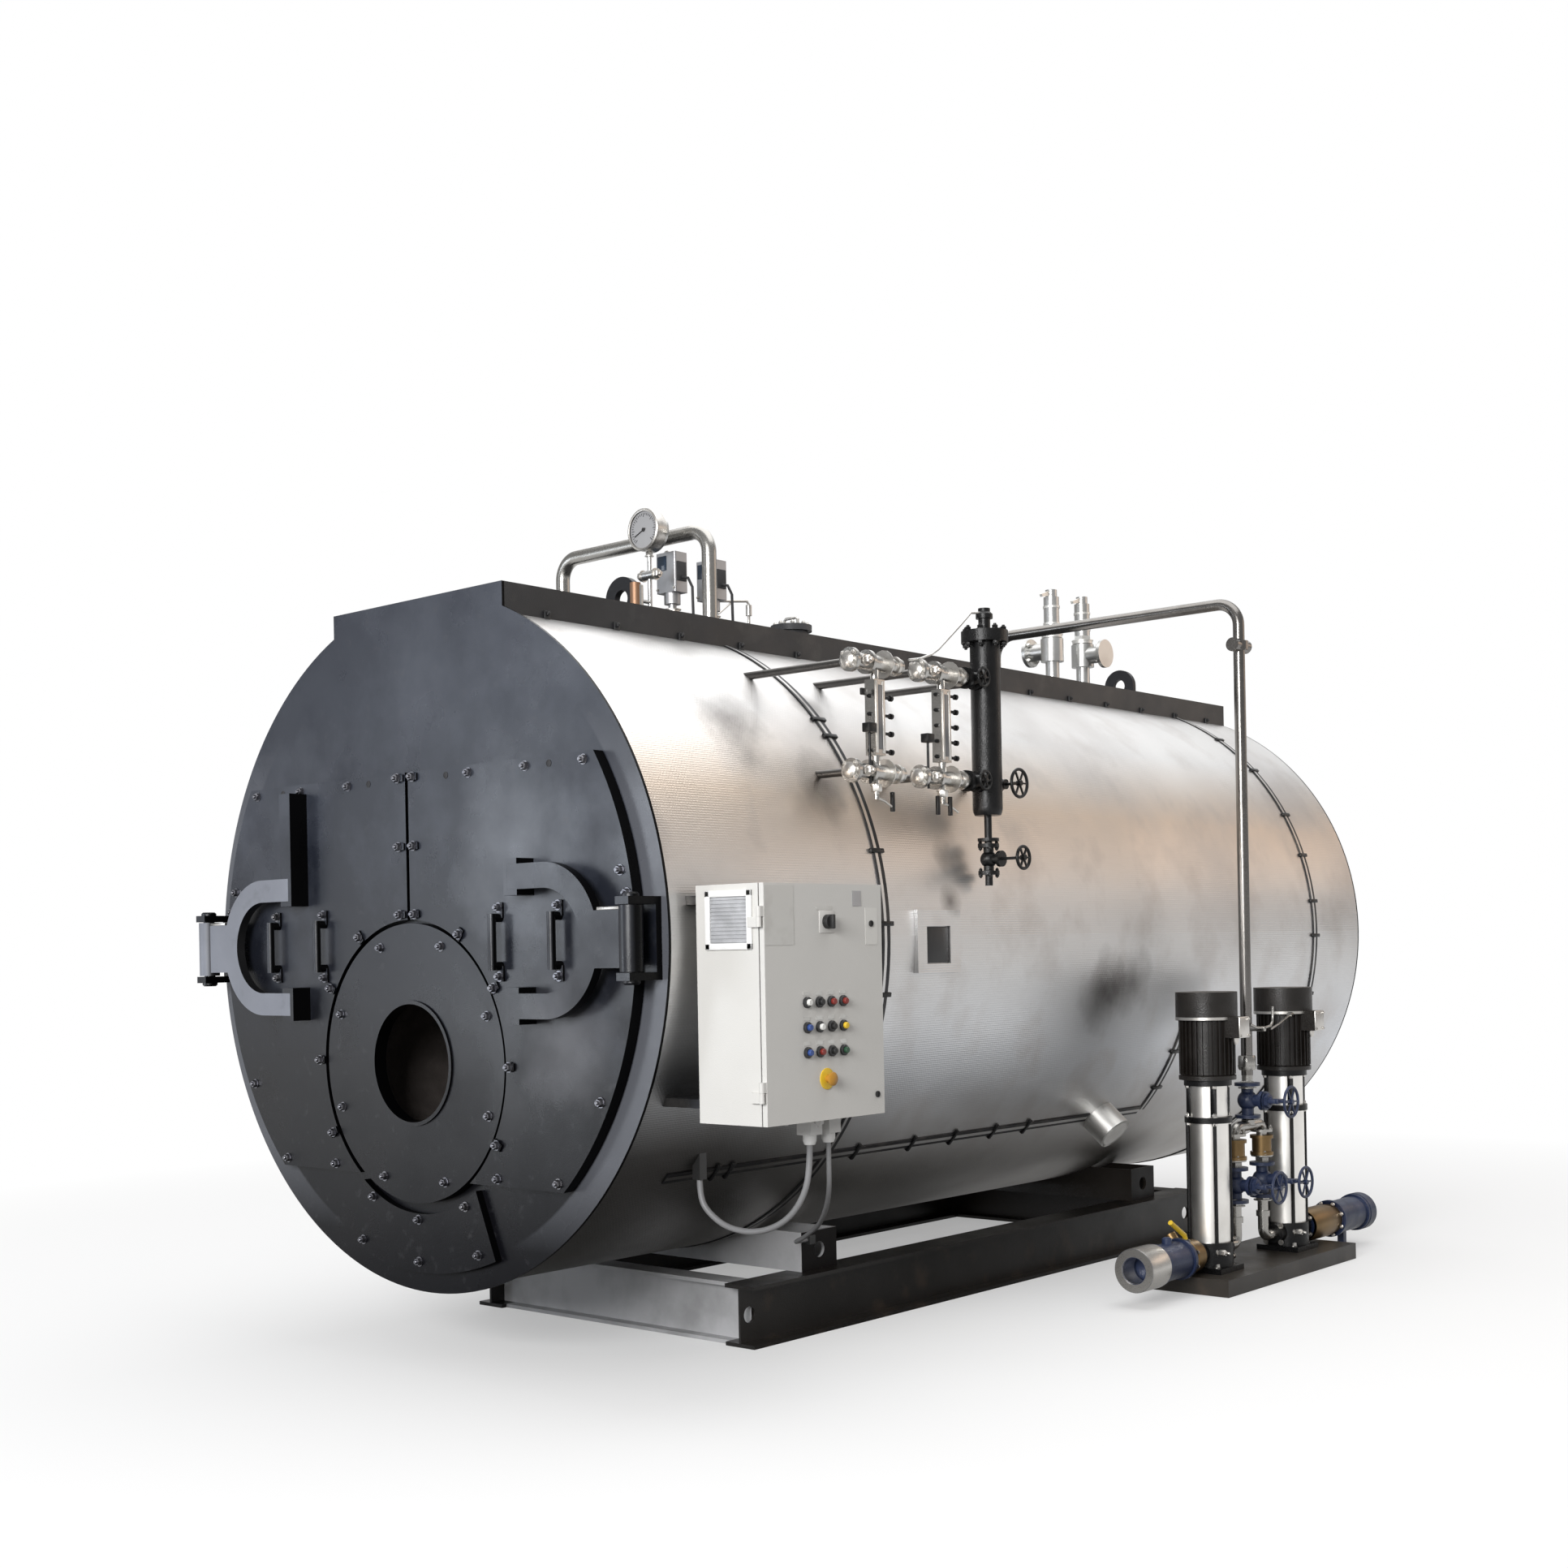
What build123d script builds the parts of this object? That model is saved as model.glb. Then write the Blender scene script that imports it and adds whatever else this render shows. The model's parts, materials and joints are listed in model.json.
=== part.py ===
from build123d import *

import math
import os

# A three-pass industrial shell boiler on its base frame, with its feed pumps, in millimetres.
# X = 0 is the boiler's middle plane and +X the side with the cabinet, the gauges and the pumps.
# Here Y = 0 is the face of the round front plate, +Y runs to the rear, and heights count from the
# boiler's axis. keep() moves every piece so that the frame's origin is on the floor, below the middle
# of the front cross beam.

# Driving sizes of the body
overall_length = 5340.0
shell_radius = 1280.0
front_plate_margin = 20.0
insulation = 100.0
vessel_wall = 16.0
shell_over_rails = 55.0
plate_thickness = 12.0
fit = 0.3
tiny = 1.0

# Driving sizes of the walkway on top
walkway_half_width = 500.0
walkway_rise = 10.0
walkway_sheet = 6.0

# Driving sizes of the front: doors, burner and cleaning hatch
door_inset = 85.0
door_top_share = 0.5
door_below_burner_plate = 94.0
door_thickness = 44.0
door_clearance = 6.0
door_seam = 17.0
door_lap = 75.0
lining_thickness = 60.0
lining_inset = 50.0
mullion_half_width = 95.0
burner_plate_share = 0.40625
burner_plate_over_bottom = 318.0
burner_plate_thickness = 46.0
burner_hole_radius = 220.0
burner_rim_width = 14.0
burner_rim_height = 8.0
burner_gap = 14.0
burner_plate_lap = 100.0
furnace_wall = 16.0
furnace_to_rear = 1028.0
tube_plate_depth = 320.0
tube_plate_thickness = 25.0
tube_radius = 38.0
tube_wall = 4.0
tube_pitch = 125.0
tube_lip = 3.0
rear_box_depth = 650.0
hatch_half_width = 318.0
hatch_flare = 0.42
hatch_gap = 42.0
hatch_margin = 58.0
hatch_thickness = 30.0

# Driving sizes of the door hinges
hinge_inset = 62.0
hinge_offset_y = 112.0
pin_radius = 22.0
pin_clearance = 0.1
barrel_radius = 40.0
bracket_half_height = 138.0
bracket_lug = 26.0
bracket_side = 62.0
arm_outer = 268.0
arm_width = 88.0
arm_thickness = 36.0
arm_reach = 408.0
arm_straight = 180.0
arm_root_half_height = 96.0
barrel_play = 3.0
clevis_wall = 20.0
clevis_length = 70.0
post_below_door_top = 39.0
handle_length = 200.0
handle_radius = 15.0
handle_standoff = 42.0

# Driving sizes of the base frame
rail_half_spread = 735.0
rail_height = 240.0
rail_flange = 150.0
rail_flange_thickness = 15.0
rail_web = 11.0
rail_margin = 925.0
eye_radius = 32.0
eye_from_end = 51.2
cross_beam_width = 110.0
cross_beam_setback = 25.0
saddle_half_width = 742.0
saddle_length = 220.0
saddle_margin = 1290.0
saddle_plate = 14.0
saddle_grip = 102.0

# Driving sizes of the cladding, the bands and the rear
band_thickness = 5.0
band_width = 46.0
band_front_y = 1185.0
band_to_rear = 535.0
strap_angle = 41.3
strap_start_y = 300.0
half_band_y = 3560.0
half_band_start = 20.0
flue_radius = 250.0
flue_length = 260.0
flue_wall = 8.0
flue_level = 620.0
flange_extra = 60.0
flange_thickness = 20.0
rear_cover_radius = 260.0
rear_cover_thickness = 24.0

# Driving sizes of the fittings on top
lug_radius = 93.0
lug_height = 230.0
lug_thickness = 30.0
lug_hole_radius = 38.0
front_lug_y = 1095.0
rear_lug_to_rear = 285.0
gauge_x = 210.0
gauge_y = 1040.0
gauge_radius = 86.0
gauge_depth = 58.0
gauge_rise = 382.0
gauge_stem_radius = 9.0
gauge_cross_drop = 180.6
gauge_cross_half = 34.0
siphon_radius = 24.0
siphon_length = 120.0
siphon_rise = 30.0
siphon_setback = 72.0
switch_x = 200.0
switch_front_y = 1180.0
switch_rear_y = 1420.0
switch_width = 110.0
switch_depth = 75.0
switch_height = 165.0
switch_rise = 310.0
switch_corner = 8.0
switch_stem_radius = 17.0
switch_bell_height = 45.0
header_pipe_y = 1150.0
header_pipe_radius = 30.0
header_pipe_rise = 370.0
header_pipe_left = -430.0
header_pipe_right = 440.0
top_cover_y = 2165.0
top_cover_radius = 95.0
top_cover_height = 150.0
top_cover_cap = 28.0
rear_valve_to_rear = 680.0
valve_spacing = 310.0
valve_rise = 600.0
valve_body_radius = 62.0
valve_body_rise = 270.0
valve_bonnet_radius = 42.0
valve_cap_height = 40.0
valve_outlet_reach = 150.0

# Driving sizes of the level gauges, the level column and the side fittings
gauge_line_gap = 40.0
upper_level_drop = 268.0
level_span = 406.0
gauge_front_y = 945.0
gauge_rear_y = 1360.0
glass_offset = 150.0
glass_width = 62.0
glass_depth = 46.0
glass_margin = 62.0
cock_radius = 30.0
cock_length = 300.0
level_pipe_radius = 15.0
column_y = 1812.0
column_radius = 60.0
column_over_upper = 153.0
column_below_lower = 131.0
column_flange_radius = 94.0
column_flange = 46.0
column_neck_radius = 24.0
column_neck_height = 92.0
drain_radius = 15.0
drain_valve_drop = 175.0
drain_tail = 105.0
drain_wheel_reach = 166.0
drain_wheel_radius = 50.0
column_valve_size = 34.0
shell_valve_gap = 5.0
shell_valve_y = 1930.0
shell_wheel_reach = 109.0
shell_wheel_radius = 62.0
valve_flange = 15.0
wheel_rim = 6.5
wheel_hub = 11.0
wheel_hub_length = 22.0
spindle_radius = 6.0
holder_y = 1367.0
holder_width = 280.0
holder_height = 243.0
holder_level = -24.0
holder_depth = 14.0
holder_window_y = 59.0
holder_window_width = 152.0
holder_window_level = -14.0
holder_window_height = 147.0
nozzle_y = 3180.0
nozzle_angle = 41.5
nozzle_radius = 84.0
nozzle_reach = 120.0
nozzle_clearance = 20.0

# Driving sizes of the control cabinet
cabinet_gap = 40.0
cabinet_y = 112.0
cabinet_width = 612.0
cabinet_bottom = -618.0
cabinet_height = 790.0
cabinet_depth = 276.0
cabinet_sheet = 4.0
cabinet_door_gap = 5.0
cabinet_door_thickness = 20.0
cabinet_bar = 30.0
cabinet_pin_radius = 5.0
knuckle_radius = 9.0
knuckle_length = 34.0
knuckle_inset = 110.0
hinge_leaf = 4.0
hinge_pad = 30.0
hinge_pad_inset = 6.0
knuckle_gap = 5.0
gland_inset = 160.0
gland_first_y = 485.0
gland_second_y = 585.0
gland_size = 62.0
gland_height = 62.0
cable_radius = 11.0
second_cable_radius = 9.0
socket_size = 36.0
shell_socket_out = 0.789
shell_socket_down = 0.67
shell_socket_y = 430.0
saddle_socket_inset = 10.0
saddle_socket_rise = 130.0

# Driving sizes of the feed pump set
skid_inner_reach = 270.0
skid_front_reach = 210.0
skid_width = 465.0
skid_length = 1270.0
skid_height = 74.0
skid_sheet = 8.0
pump_gap = 280.0
front_pump_to_rear = 2215.0
pump_spacing = 740.0
pump_base_height = 130.0
pump_base_half = 105.0
pump_base_plate = 24.0
pump_base_rim = 12.0
pump_inlet_reach = 165.0
pump_outlet_reach = 140.0
stack_radius = 87.0
stack_height = 730.0
lantern_radius = 104.0
lantern_core_radius = 60.0
lantern_height = 190.0
lantern_flange = 26.0
guard_radius = 84.0
guard_sheet = 3.0
motor_radius = 135.0
motor_height = 387.0
motor_neck_radius = 110.0
fan_cover_share = 0.32
terminal_box_reach = 178.0
terminal_box_half = 46.0
terminal_box_drop = 155.0
manifold_height = 160.0
manifold_radius = 44.0
strainer_radius = 70.0
front_strainer_length = 110.0
rear_strainer_length = 281.0
suction_body_radius = 80.0
front_suction_body = 232.0
rear_suction_body = 290.0
suction_end_radius = 92.0
front_suction_end = 153.0
rear_suction_end = 62.0
suction_bore_radius = 55.0
suction_bore_depth = 110.0
suction_foot_half = 16.0
riser_radius = 24.0
riser_offset = 240.0
riser_valve_height = 425.0
riser_valve_size = 46.0
riser_wheel_reach = 215.0
riser_wheel_radius = 74.0
check_height = 585.0
check_half = 46.0
check_radius = 44.0
joint_height = 685.0
feed_valve_height = 800.0
feed_joint_height = 915.0
feed_pipe_radius = 26.0
feed_pipe_rise = 218.0
feed_pipe_bend = 105.0
feed_inlet_x = 215.0
check_valve_drop = 200.0
check_valve_half = 66.0
check_valve_height = 40.0

# Sizes that follow from the driving ones
axis_height = shell_radius + shell_over_rails + rail_height
floor = -axis_height
rear_y = overall_length
origin_y = rail_margin + cross_beam_setback + cross_beam_width / 2
front_radius = shell_radius + front_plate_margin
vessel_radius = shell_radius - insulation
vessel_inner = vessel_radius - vessel_wall
walkway_top = shell_radius + walkway_rise
skin_underside = walkway_top - walkway_sheet

burner_plate_radius = burner_plate_share * shell_radius
burner_level = burner_plate_radius + burner_plate_over_bottom - shell_radius
furnace_radius = burner_plate_radius - burner_plate_lap
furnace_end = rear_y - furnace_to_rear
rear_tube_plate = rear_y - rear_box_depth
door_radius = shell_radius - door_inset
door_top = door_top_share * shell_radius
door_bottom = burner_level - burner_plate_radius + door_below_burner_plate
hatch_top_radius = burner_plate_radius + hatch_gap
hatch_bottom_radius = shell_radius - hatch_margin
hinge_offset_x = front_radius - hinge_inset
arm_bend_x = hinge_offset_x - arm_reach
arm_end_x = arm_bend_x - arm_straight
handle_inner_x = burner_plate_radius
handle_outer_x = arm_bend_x

band_rear_y = rear_y - band_to_rear
rear_lug_y = rear_y - rear_lug_to_rear
gauge_level = walkway_top + gauge_rise
switch_top = walkway_top + switch_rise
header_pipe_level = walkway_top + header_pipe_rise
valve_rear_y = rear_y - rear_valve_to_rear
valve_front_y = valve_rear_y - valve_spacing
valve_top = walkway_top + valve_rise
valve_body_level = walkway_top + valve_body_rise

gauge_line_x = shell_radius + gauge_line_gap
upper_level = shell_radius - upper_level_drop
lower_level = upper_level - level_span
column_top = upper_level + column_over_upper
column_bottom = lower_level - column_below_lower
drain_valve_level = column_bottom - drain_valve_drop
drain_bottom = drain_valve_level - drain_tail
drain_wheel_x = gauge_line_x + drain_wheel_reach
shell_valve_x = shell_radius + shell_valve_gap
shell_wheel_x = shell_valve_x + shell_wheel_reach

cabinet_x = shell_radius + cabinet_gap
cabinet_pin_x = cabinet_x + cabinet_depth + cabinet_door_gap + cabinet_door_thickness / 2
cabinet_pin_y = cabinet_y - knuckle_radius - knuckle_gap
gland_x = cabinet_x + gland_inset
shell_socket_x = shell_socket_out * shell_radius
shell_socket_level = -shell_socket_down * shell_radius
saddle_socket_y = saddle_margin + saddle_socket_inset
saddle_socket_level = floor + rail_height + saddle_socket_rise

pump_x = shell_radius + pump_gap
front_pump_y = rear_y - front_pump_to_rear
rear_pump_y = front_pump_y + pump_spacing
skid_x = pump_x - skid_inner_reach
skid_y = front_pump_y - skid_front_reach
skid_top = floor + skid_height
stack_top = floor + stack_height
lantern_top = stack_top + lantern_height
motor_top = lantern_top + motor_height
manifold_level = floor + manifold_height
riser_valve_level = floor + riser_valve_height
check_level = floor + check_height
joint_level = floor + joint_height
feed_valve_level = floor + feed_valve_height
feed_joint_level = floor + feed_joint_height
feed_pipe_y = (front_pump_y + rear_pump_y) / 2
feed_pipe_level = walkway_top + feed_pipe_rise
check_valve_level = feed_pipe_level - check_valve_drop


def block(x0, x1, y0, y1, z0, z1):
    """A box between two corners."""
    size = (abs(x1 - x0), abs(y1 - y0), abs(z1 - z0))
    return Pos((x0 + x1) / 2, (y0 + y1) / 2, (z0 + z1) / 2) * Box(*size)


def rod_x(radius, x0, x1, y, z):
    """A round bar along X."""
    return Pos((x0 + x1) / 2, y, z) * Rot(0, 90, 0) * Cylinder(radius, abs(x1 - x0))


def rod_y(radius, y0, y1, x=0.0, z=0.0):
    """A round bar along Y."""
    return Pos(x, (y0 + y1) / 2, z) * Rot(90, 0, 0) * Cylinder(radius, abs(y1 - y0))


def rod_z(radius, z0, z1, x, y):
    """A round bar along Z."""
    return Pos(x, y, (z0 + z1) / 2) * Cylinder(radius, abs(z1 - z0))


def tube_y(outer, inner, y0, y1, x=0.0, z=0.0):
    """A round tube along Y."""
    return rod_y(outer, y0, y1, x, z) - rod_y(inner, y0 - tiny, y1 + tiny, x, z)


def off_shell(shape):
    """Cuts a fitting back to the cladding that it stands on."""
    return shape - rod_y(shell_radius + fit, -tiny, overall_length + tiny)


def other_side(shape):
    """The same piece on the -X side."""
    return mirror(shape, about=Plane.YZ)


def keep(name, *shapes):
    """Moves a node's solids into the frame of the floor and writes them to one file."""
    solids = [solid for shape in shapes for solid in shape.solids()]
    lifted = [Pos(0, -origin_y, axis_height) * solid for solid in solids]
    whole = lifted[0] if len(lifted) == 1 else Compound(children=lifted)
    export_step(whole, f"parts/{name}.step")


def beam_along_y(x, y0, y1):
    """A rolled I section standing on the floor, with a lifting eye through each end of its web."""
    top = floor + rail_height
    half = rail_flange / 2
    lower = block(x - half, x + half, y0, y1, floor, floor + rail_flange_thickness)
    upper = block(x - half, x + half, y0, y1, top - rail_flange_thickness, top)
    web = block(x - rail_web / 2, x + rail_web / 2, y0, y1, floor, top)
    beam = lower + upper + web
    for eye_y in (y0 + eye_from_end, y1 - eye_from_end):
        beam -= rod_x(eye_radius, x - half, x + half, eye_y, floor + rail_height / 2)
    return beam


def cross_beam(y0):
    """An I section that joins the two rails, web to web, inside their flanges."""
    reach = rail_half_spread - rail_web / 2
    inner = rail_half_spread - rail_flange / 2
    low = floor + rail_flange_thickness
    high = floor + rail_height - rail_flange_thickness
    middle = y0 + cross_beam_width / 2
    web = block(-reach, reach, middle - rail_web / 2, middle + rail_web / 2, low, high)
    y1 = y0 + cross_beam_width
    bottom = block(-inner, inner, y0, y1, floor, low)
    top = block(-inner, inner, y0, y1, high, high + rail_flange_thickness)
    return web + bottom + top


def saddle(y0):
    """A box of four plates whose top follows the shell."""
    low = floor + rail_height
    high = saddle_grip - shell_radius
    y1 = y0 + saddle_length
    box = block(-saddle_half_width, saddle_half_width, y0, y1, low, high)
    reach = saddle_half_width - saddle_plate
    box -= block(-reach, reach, y0 + saddle_plate, y1 - saddle_plate, low, high)
    for side in (-1, 1):
        wall = (side * (reach - tiny), side * (saddle_half_width + tiny))
        box -= rod_x(eye_radius, *wall, y0 + saddle_length / 2, (low + high) / 2)
    return box - rod_y(shell_radius + fit, y0 - tiny, y1 + tiny)


def base_frame():
    """Rails, cross beams and saddles."""
    rear_end = rear_y - rail_margin
    keep("base_rails", *[beam_along_y(side * rail_half_spread, rail_margin, rear_end) for side in (-1, 1)])
    front = rail_margin + cross_beam_setback
    rear = rear_end - cross_beam_setback - cross_beam_width
    keep("cross_beams", cross_beam(front), cross_beam(rear))
    keep("saddles", saddle(saddle_margin), saddle(rear_y - saddle_margin - saddle_length))


def door_half():
    """The outline of the right door over its whole depth, without its burner cut-out."""
    front = -door_clearance - door_thickness
    disc = rod_y(door_radius, front, -door_clearance)
    half = block(door_seam / 2, door_radius, front, -door_clearance, door_bottom, door_top)
    return disc & half


def door_openings():
    """The two holes in the front plate that the doors cover."""
    depth = plate_thickness + tiny
    disc = rod_y(door_radius - door_lap, -tiny, depth)
    low = door_bottom + door_lap
    right = disc & block(mullion_half_width, door_radius, -tiny, depth, low, door_top - door_lap)
    right -= rod_y(burner_plate_radius + door_lap, -tiny, depth, 0, burner_level)
    return right + other_side(right)


def front_plate():
    """The round front sheet with its flat top, cut for the doors and the furnace."""
    disc = rod_y(front_radius, 0, plate_thickness)
    head = block(-walkway_half_width, walkway_half_width, 0, plate_thickness, 0, walkway_top)
    trim = block(-front_radius, front_radius, 0, plate_thickness, walkway_top, 2 * front_radius)
    plate = disc + head - trim - door_openings()
    return plate - rod_y(furnace_radius, -tiny, plate_thickness + tiny, 0, burner_level)


def hatch():
    """The bolted cleaning cover below the burner: two slanted sides and two arcs."""
    y0 = -hatch_thickness
    ring = rod_y(hatch_bottom_radius, y0, 0) - rod_y(hatch_top_radius, y0 - tiny, tiny, 0, burner_level)
    low = hatch_bottom_radius
    drop = low + door_bottom
    flare = hatch_half_width + hatch_flare * drop
    corners = [
        (-hatch_half_width, door_bottom - fit),
        (hatch_half_width, door_bottom - fit),
        (flare, -low),
        (-flare, -low),
    ]
    face = Plane.XZ * make_face(Polyline(*corners, close=True).edges())
    wedge = extrude(face, amount=hatch_thickness)
    return ring & wedge


def burner_plate():
    """The round burner mounting plate with a slim raised rim round its hole."""
    front = -burner_plate_thickness
    plate = rod_y(burner_plate_radius, front, 0, 0, burner_level)
    rim_radius = burner_hole_radius + burner_rim_width
    plate += rod_y(rim_radius, front - burner_rim_height, front, 0, burner_level)
    return plate - rod_y(burner_hole_radius, front - burner_rim_height - tiny, tiny, 0, burner_level)


def furnace():
    """The furnace tube, closed at its rear end."""
    y0 = plate_thickness
    outer = furnace_radius + furnace_wall
    cup = rod_y(outer, y0, furnace_end, 0, burner_level)
    return cup - rod_y(furnace_radius, y0 - tiny, furnace_end - furnace_wall, 0, burner_level)


def tube_places():
    """Centres of the smoke tubes behind the two doors."""
    places = []
    columns = int((door_radius - door_lap) / tube_pitch)
    reach = door_radius - door_lap - tube_pitch / 2
    for column in range(1, columns + 1):
        for row in range(-columns, columns + 1):
            x, z = (column + 0.5) * tube_pitch, row * tube_pitch
            clear = math.hypot(x, z - burner_level) > furnace_radius + 1.5 * tube_pitch
            inside = math.hypot(x, z) < reach and door_bottom + door_lap < z < door_top - 2 * door_lap
            if clear and inside:
                places += [(x, z), (-x, z)]
    return places


def tube_plate(y0):
    """A plate across the vessel with the holes of the smoke tubes."""
    y1 = y0 + tube_plate_thickness
    plate = rod_y(vessel_inner - fit, y0, y1)
    return plate - [rod_y(tube_radius + fit, y0 - tiny, y1 + tiny, x, z) for x, z in tube_places()]


def front_tube_plate():
    """The plate behind the doors, which also holds the furnace."""
    y0 = tube_plate_depth
    y1 = y0 + tube_plate_thickness
    hole = rod_y(furnace_radius + furnace_wall + fit, y0 - tiny, y1 + tiny, 0, burner_level)
    return tube_plate(y0) - hole


def smoke_tubes():
    """Straight smoke tubes that stand a little proud of both tube plates."""
    y0 = tube_plate_depth - tube_lip
    y1 = rear_tube_plate + tube_plate_thickness + tube_lip
    return [tube_y(tube_radius, tube_radius - tube_wall, y0, y1, x, z) for x, z in tube_places()]


def walkway():
    """The flat top cover with a skirt down to the cladding on each side."""
    y0 = plate_thickness
    inner = walkway_half_width - walkway_sheet
    shape = block(-walkway_half_width, walkway_half_width, y0, rear_y, 0, walkway_top)
    shape -= block(-inner, inner, y0 - tiny, rear_y + tiny, -tiny, skin_underside)
    return off_shell(shape)


def shell():
    """The pressure vessel, the insulated cladding and both end plates."""
    y0 = plate_thickness
    y1 = rear_y - plate_thickness
    keep("vessel_shell", tube_y(vessel_radius - fit, vessel_inner, y0, y1))
    jacket = tube_y(shell_radius, vessel_radius, y0, y1)
    keep("shell_cladding", jacket)
    flue_hole = rod_y(flue_radius - flue_wall, y1 - tiny, rear_y + tiny, 0, flue_level)
    keep("rear_plate", rod_y(shell_radius, y1, rear_y) - flue_hole)
    keep("front_plate", front_plate())
    keep("walkway", walkway())


def band(y):
    """A cladding strap round the shell from one walkway skirt to the other."""
    ring = tube_y(shell_radius + band_thickness, shell_radius + fit, y - band_width / 2, y + band_width / 2)
    reach = walkway_half_width + fit
    return ring - block(-reach, reach, y - band_width, y + band_width, 0, 2 * front_radius)


def half_band():
    """The short strap low on the +X side, which runs into the strap along the shell."""
    y0, y1 = half_band_y - band_width / 2, half_band_y + band_width / 2
    ring = tube_y(shell_radius + band_thickness, shell_radius + fit, y0, y1)
    size = 2 * shell_radius
    upper = Rot(0, half_band_start, 0) * block(0, size, y0 - tiny, y1 + tiny, -size, 0)
    lower = Rot(0, strap_angle, 0) * block(0, size, y0 - tiny, y1 + tiny, 0, size)
    return ring & upper & lower


def long_strap():
    """The strap over the lower seam of the cladding, along the +X side, which stops short of the nozzle."""
    y1 = half_band_y - band_width / 2
    half = band_width / 2
    flat = block(0.9 * shell_radius, shell_radius + band_thickness, strap_start_y, y1, -half, half)
    flat = off_shell(Rot(0, strap_angle, 0) * flat)
    return flat - nozzle_bar(nozzle_radius + nozzle_clearance)


def rear_fittings():
    """The flue outlet with its flange and the round access cover."""
    y1 = rear_y + flue_length
    duct = rod_y(flue_radius, rear_y, y1, 0, flue_level)
    duct += rod_y(flue_radius + flange_extra, y1 - flange_thickness, y1, 0, flue_level)
    duct -= rod_y(flue_radius - flue_wall, rear_y - tiny, y1 + tiny, 0, flue_level)
    keep("flue_outlet", duct)
    rear_cover = rod_y(rear_cover_radius, rear_y, rear_y + rear_cover_thickness, 0, burner_level)
    keep("inspection_covers", rear_cover, top_cover())


def hinge_bracket():
    """A back plate on the front sheet with two lugs and the pin through them."""
    inner = hinge_offset_x - bracket_side / 2
    outer = hinge_offset_x + bracket_side / 2
    front = -hinge_offset_y - barrel_radius
    half = bracket_half_height
    plate = block(inner, outer, -bracket_lug, 0, -half, half)
    lugs = block(inner, outer, front, 0, half - bracket_lug, half)
    lugs += block(inner, outer, front, 0, -half, bracket_lug - half)
    pin = rod_z(pin_radius, -half, half, hinge_offset_x, -hinge_offset_y)
    return plate + lugs + pin


def arm_profile():
    """The C of the hinge arm, seen from the front, as a thick plate."""
    y0 = -hinge_offset_y - arm_thickness / 2
    y1 = y0 + arm_thickness
    centre = arm_bend_x
    inner = arm_outer - arm_width
    ring = tube_y(arm_outer, inner, y0, y1, centre, 0)
    ring = ring & block(centre, centre + arm_outer, y0, y1, -arm_outer, arm_outer)
    for side in (-1, 1):
        ring += block(arm_end_x, centre, y0, y1, side * inner, side * arm_outer)
    return ring


def hinge_arm():
    """The C arm with its root and the barrel that turns on the bracket's pin."""
    y0 = -hinge_offset_y - arm_thickness / 2
    half = arm_root_half_height
    root = block(arm_bend_x + arm_outer - arm_width / 2, hinge_offset_x, y0, y0 + arm_thickness, -half, half)
    barrel_half = bracket_half_height - bracket_lug - barrel_play
    barrel = rod_z(barrel_radius, -barrel_half, barrel_half, hinge_offset_x, -hinge_offset_y)
    arm = arm_profile() + root + barrel
    bore = rod_z(pin_radius + pin_clearance, -2 * half, 2 * half, hinge_offset_x, -hinge_offset_y)
    return arm - bore


def arm_clevises():
    """Two forks on the door that hold the ends of the arm."""
    door_face = -door_clearance - door_thickness
    front = -hinge_offset_y - arm_thickness / 2
    x0 = arm_end_x - clevis_wall - fit
    x1 = x0 + clevis_length
    inner = arm_outer - arm_width
    forks = []
    for side in (-1, 1):
        low = inner - fit - clevis_wall
        high = arm_outer + fit + clevis_wall
        fork = block(x0, x1, front, door_face, side * low, side * high)
        slot = (side * (inner - fit), side * (arm_outer + fit))
        fork -= block(arm_end_x - fit, x1 + tiny, front - tiny, door_face - clevis_wall, *slot)
        forks.append(fork)
    return forks


def tall_clevises():
    """The forks of the left door: the upper one goes on as a post, up to the door's top."""
    upper, lower = arm_clevises()
    if upper.center().Z < 0:
        upper, lower = lower, upper
    box = upper.bounding_box()
    post_top = door_top - post_below_door_top
    return upper + block(box.min.X, box.max.X, box.min.Y, box.max.Y, box.max.Z, post_top), lower


def handles():
    """Two upright bar handles on the door, each on two feet."""
    face = -door_clearance - door_thickness
    bars = []
    for x in (handle_inner_x, handle_outer_x):
        y = face - handle_standoff
        half = handle_length / 2
        bar = rod_z(handle_radius, -half, half, x, y)
        for side in (-1, 1):
            foot_z = side * (half - handle_radius)
            bar += rod_y(handle_radius, y, face, x, foot_z)
        bars.append(bar)
    return bars


def lining():
    """The insulation block on the back of the right door, inside the door opening."""
    y0 = -door_clearance
    depth = y0 + lining_thickness
    radius = door_radius - door_lap - lining_inset
    disc = rod_y(radius, y0, depth)
    low = door_bottom + door_lap + lining_inset
    high = door_top - door_lap - lining_inset
    half = disc & block(mullion_half_width + lining_inset, radius, y0, depth, low, high)
    cut_radius = burner_plate_radius + door_lap + lining_inset
    return half - rod_y(cut_radius, y0 - tiny, depth + tiny, 0, burner_level)


def door():
    """The right door leaf with its burner cut-out."""
    front = -door_clearance - door_thickness
    cut = rod_y(burner_plate_radius + burner_gap, front - tiny, 0, 0, burner_level)
    return door_half() - cut


def doors():
    """Both doors with their linings, forks, handles, arms and brackets."""
    for name, turn in (("right", lambda shape: shape), ("left", other_side)):
        keep(f"door_{name}", turn(door()))
        keep(f"door_lining_{name}", turn(lining()))
        forks = arm_clevises() if name == "right" else tall_clevises()
        keep(f"arm_clevises_{name}", *[turn(fork) for fork in forks])
        keep(f"door_handles_{name}", *[turn(bar) for bar in handles()])
        keep(f"hinge_arm_{name}", turn(hinge_arm()))
    keep("hinge_brackets", hinge_bracket(), other_side(hinge_bracket()))


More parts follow.
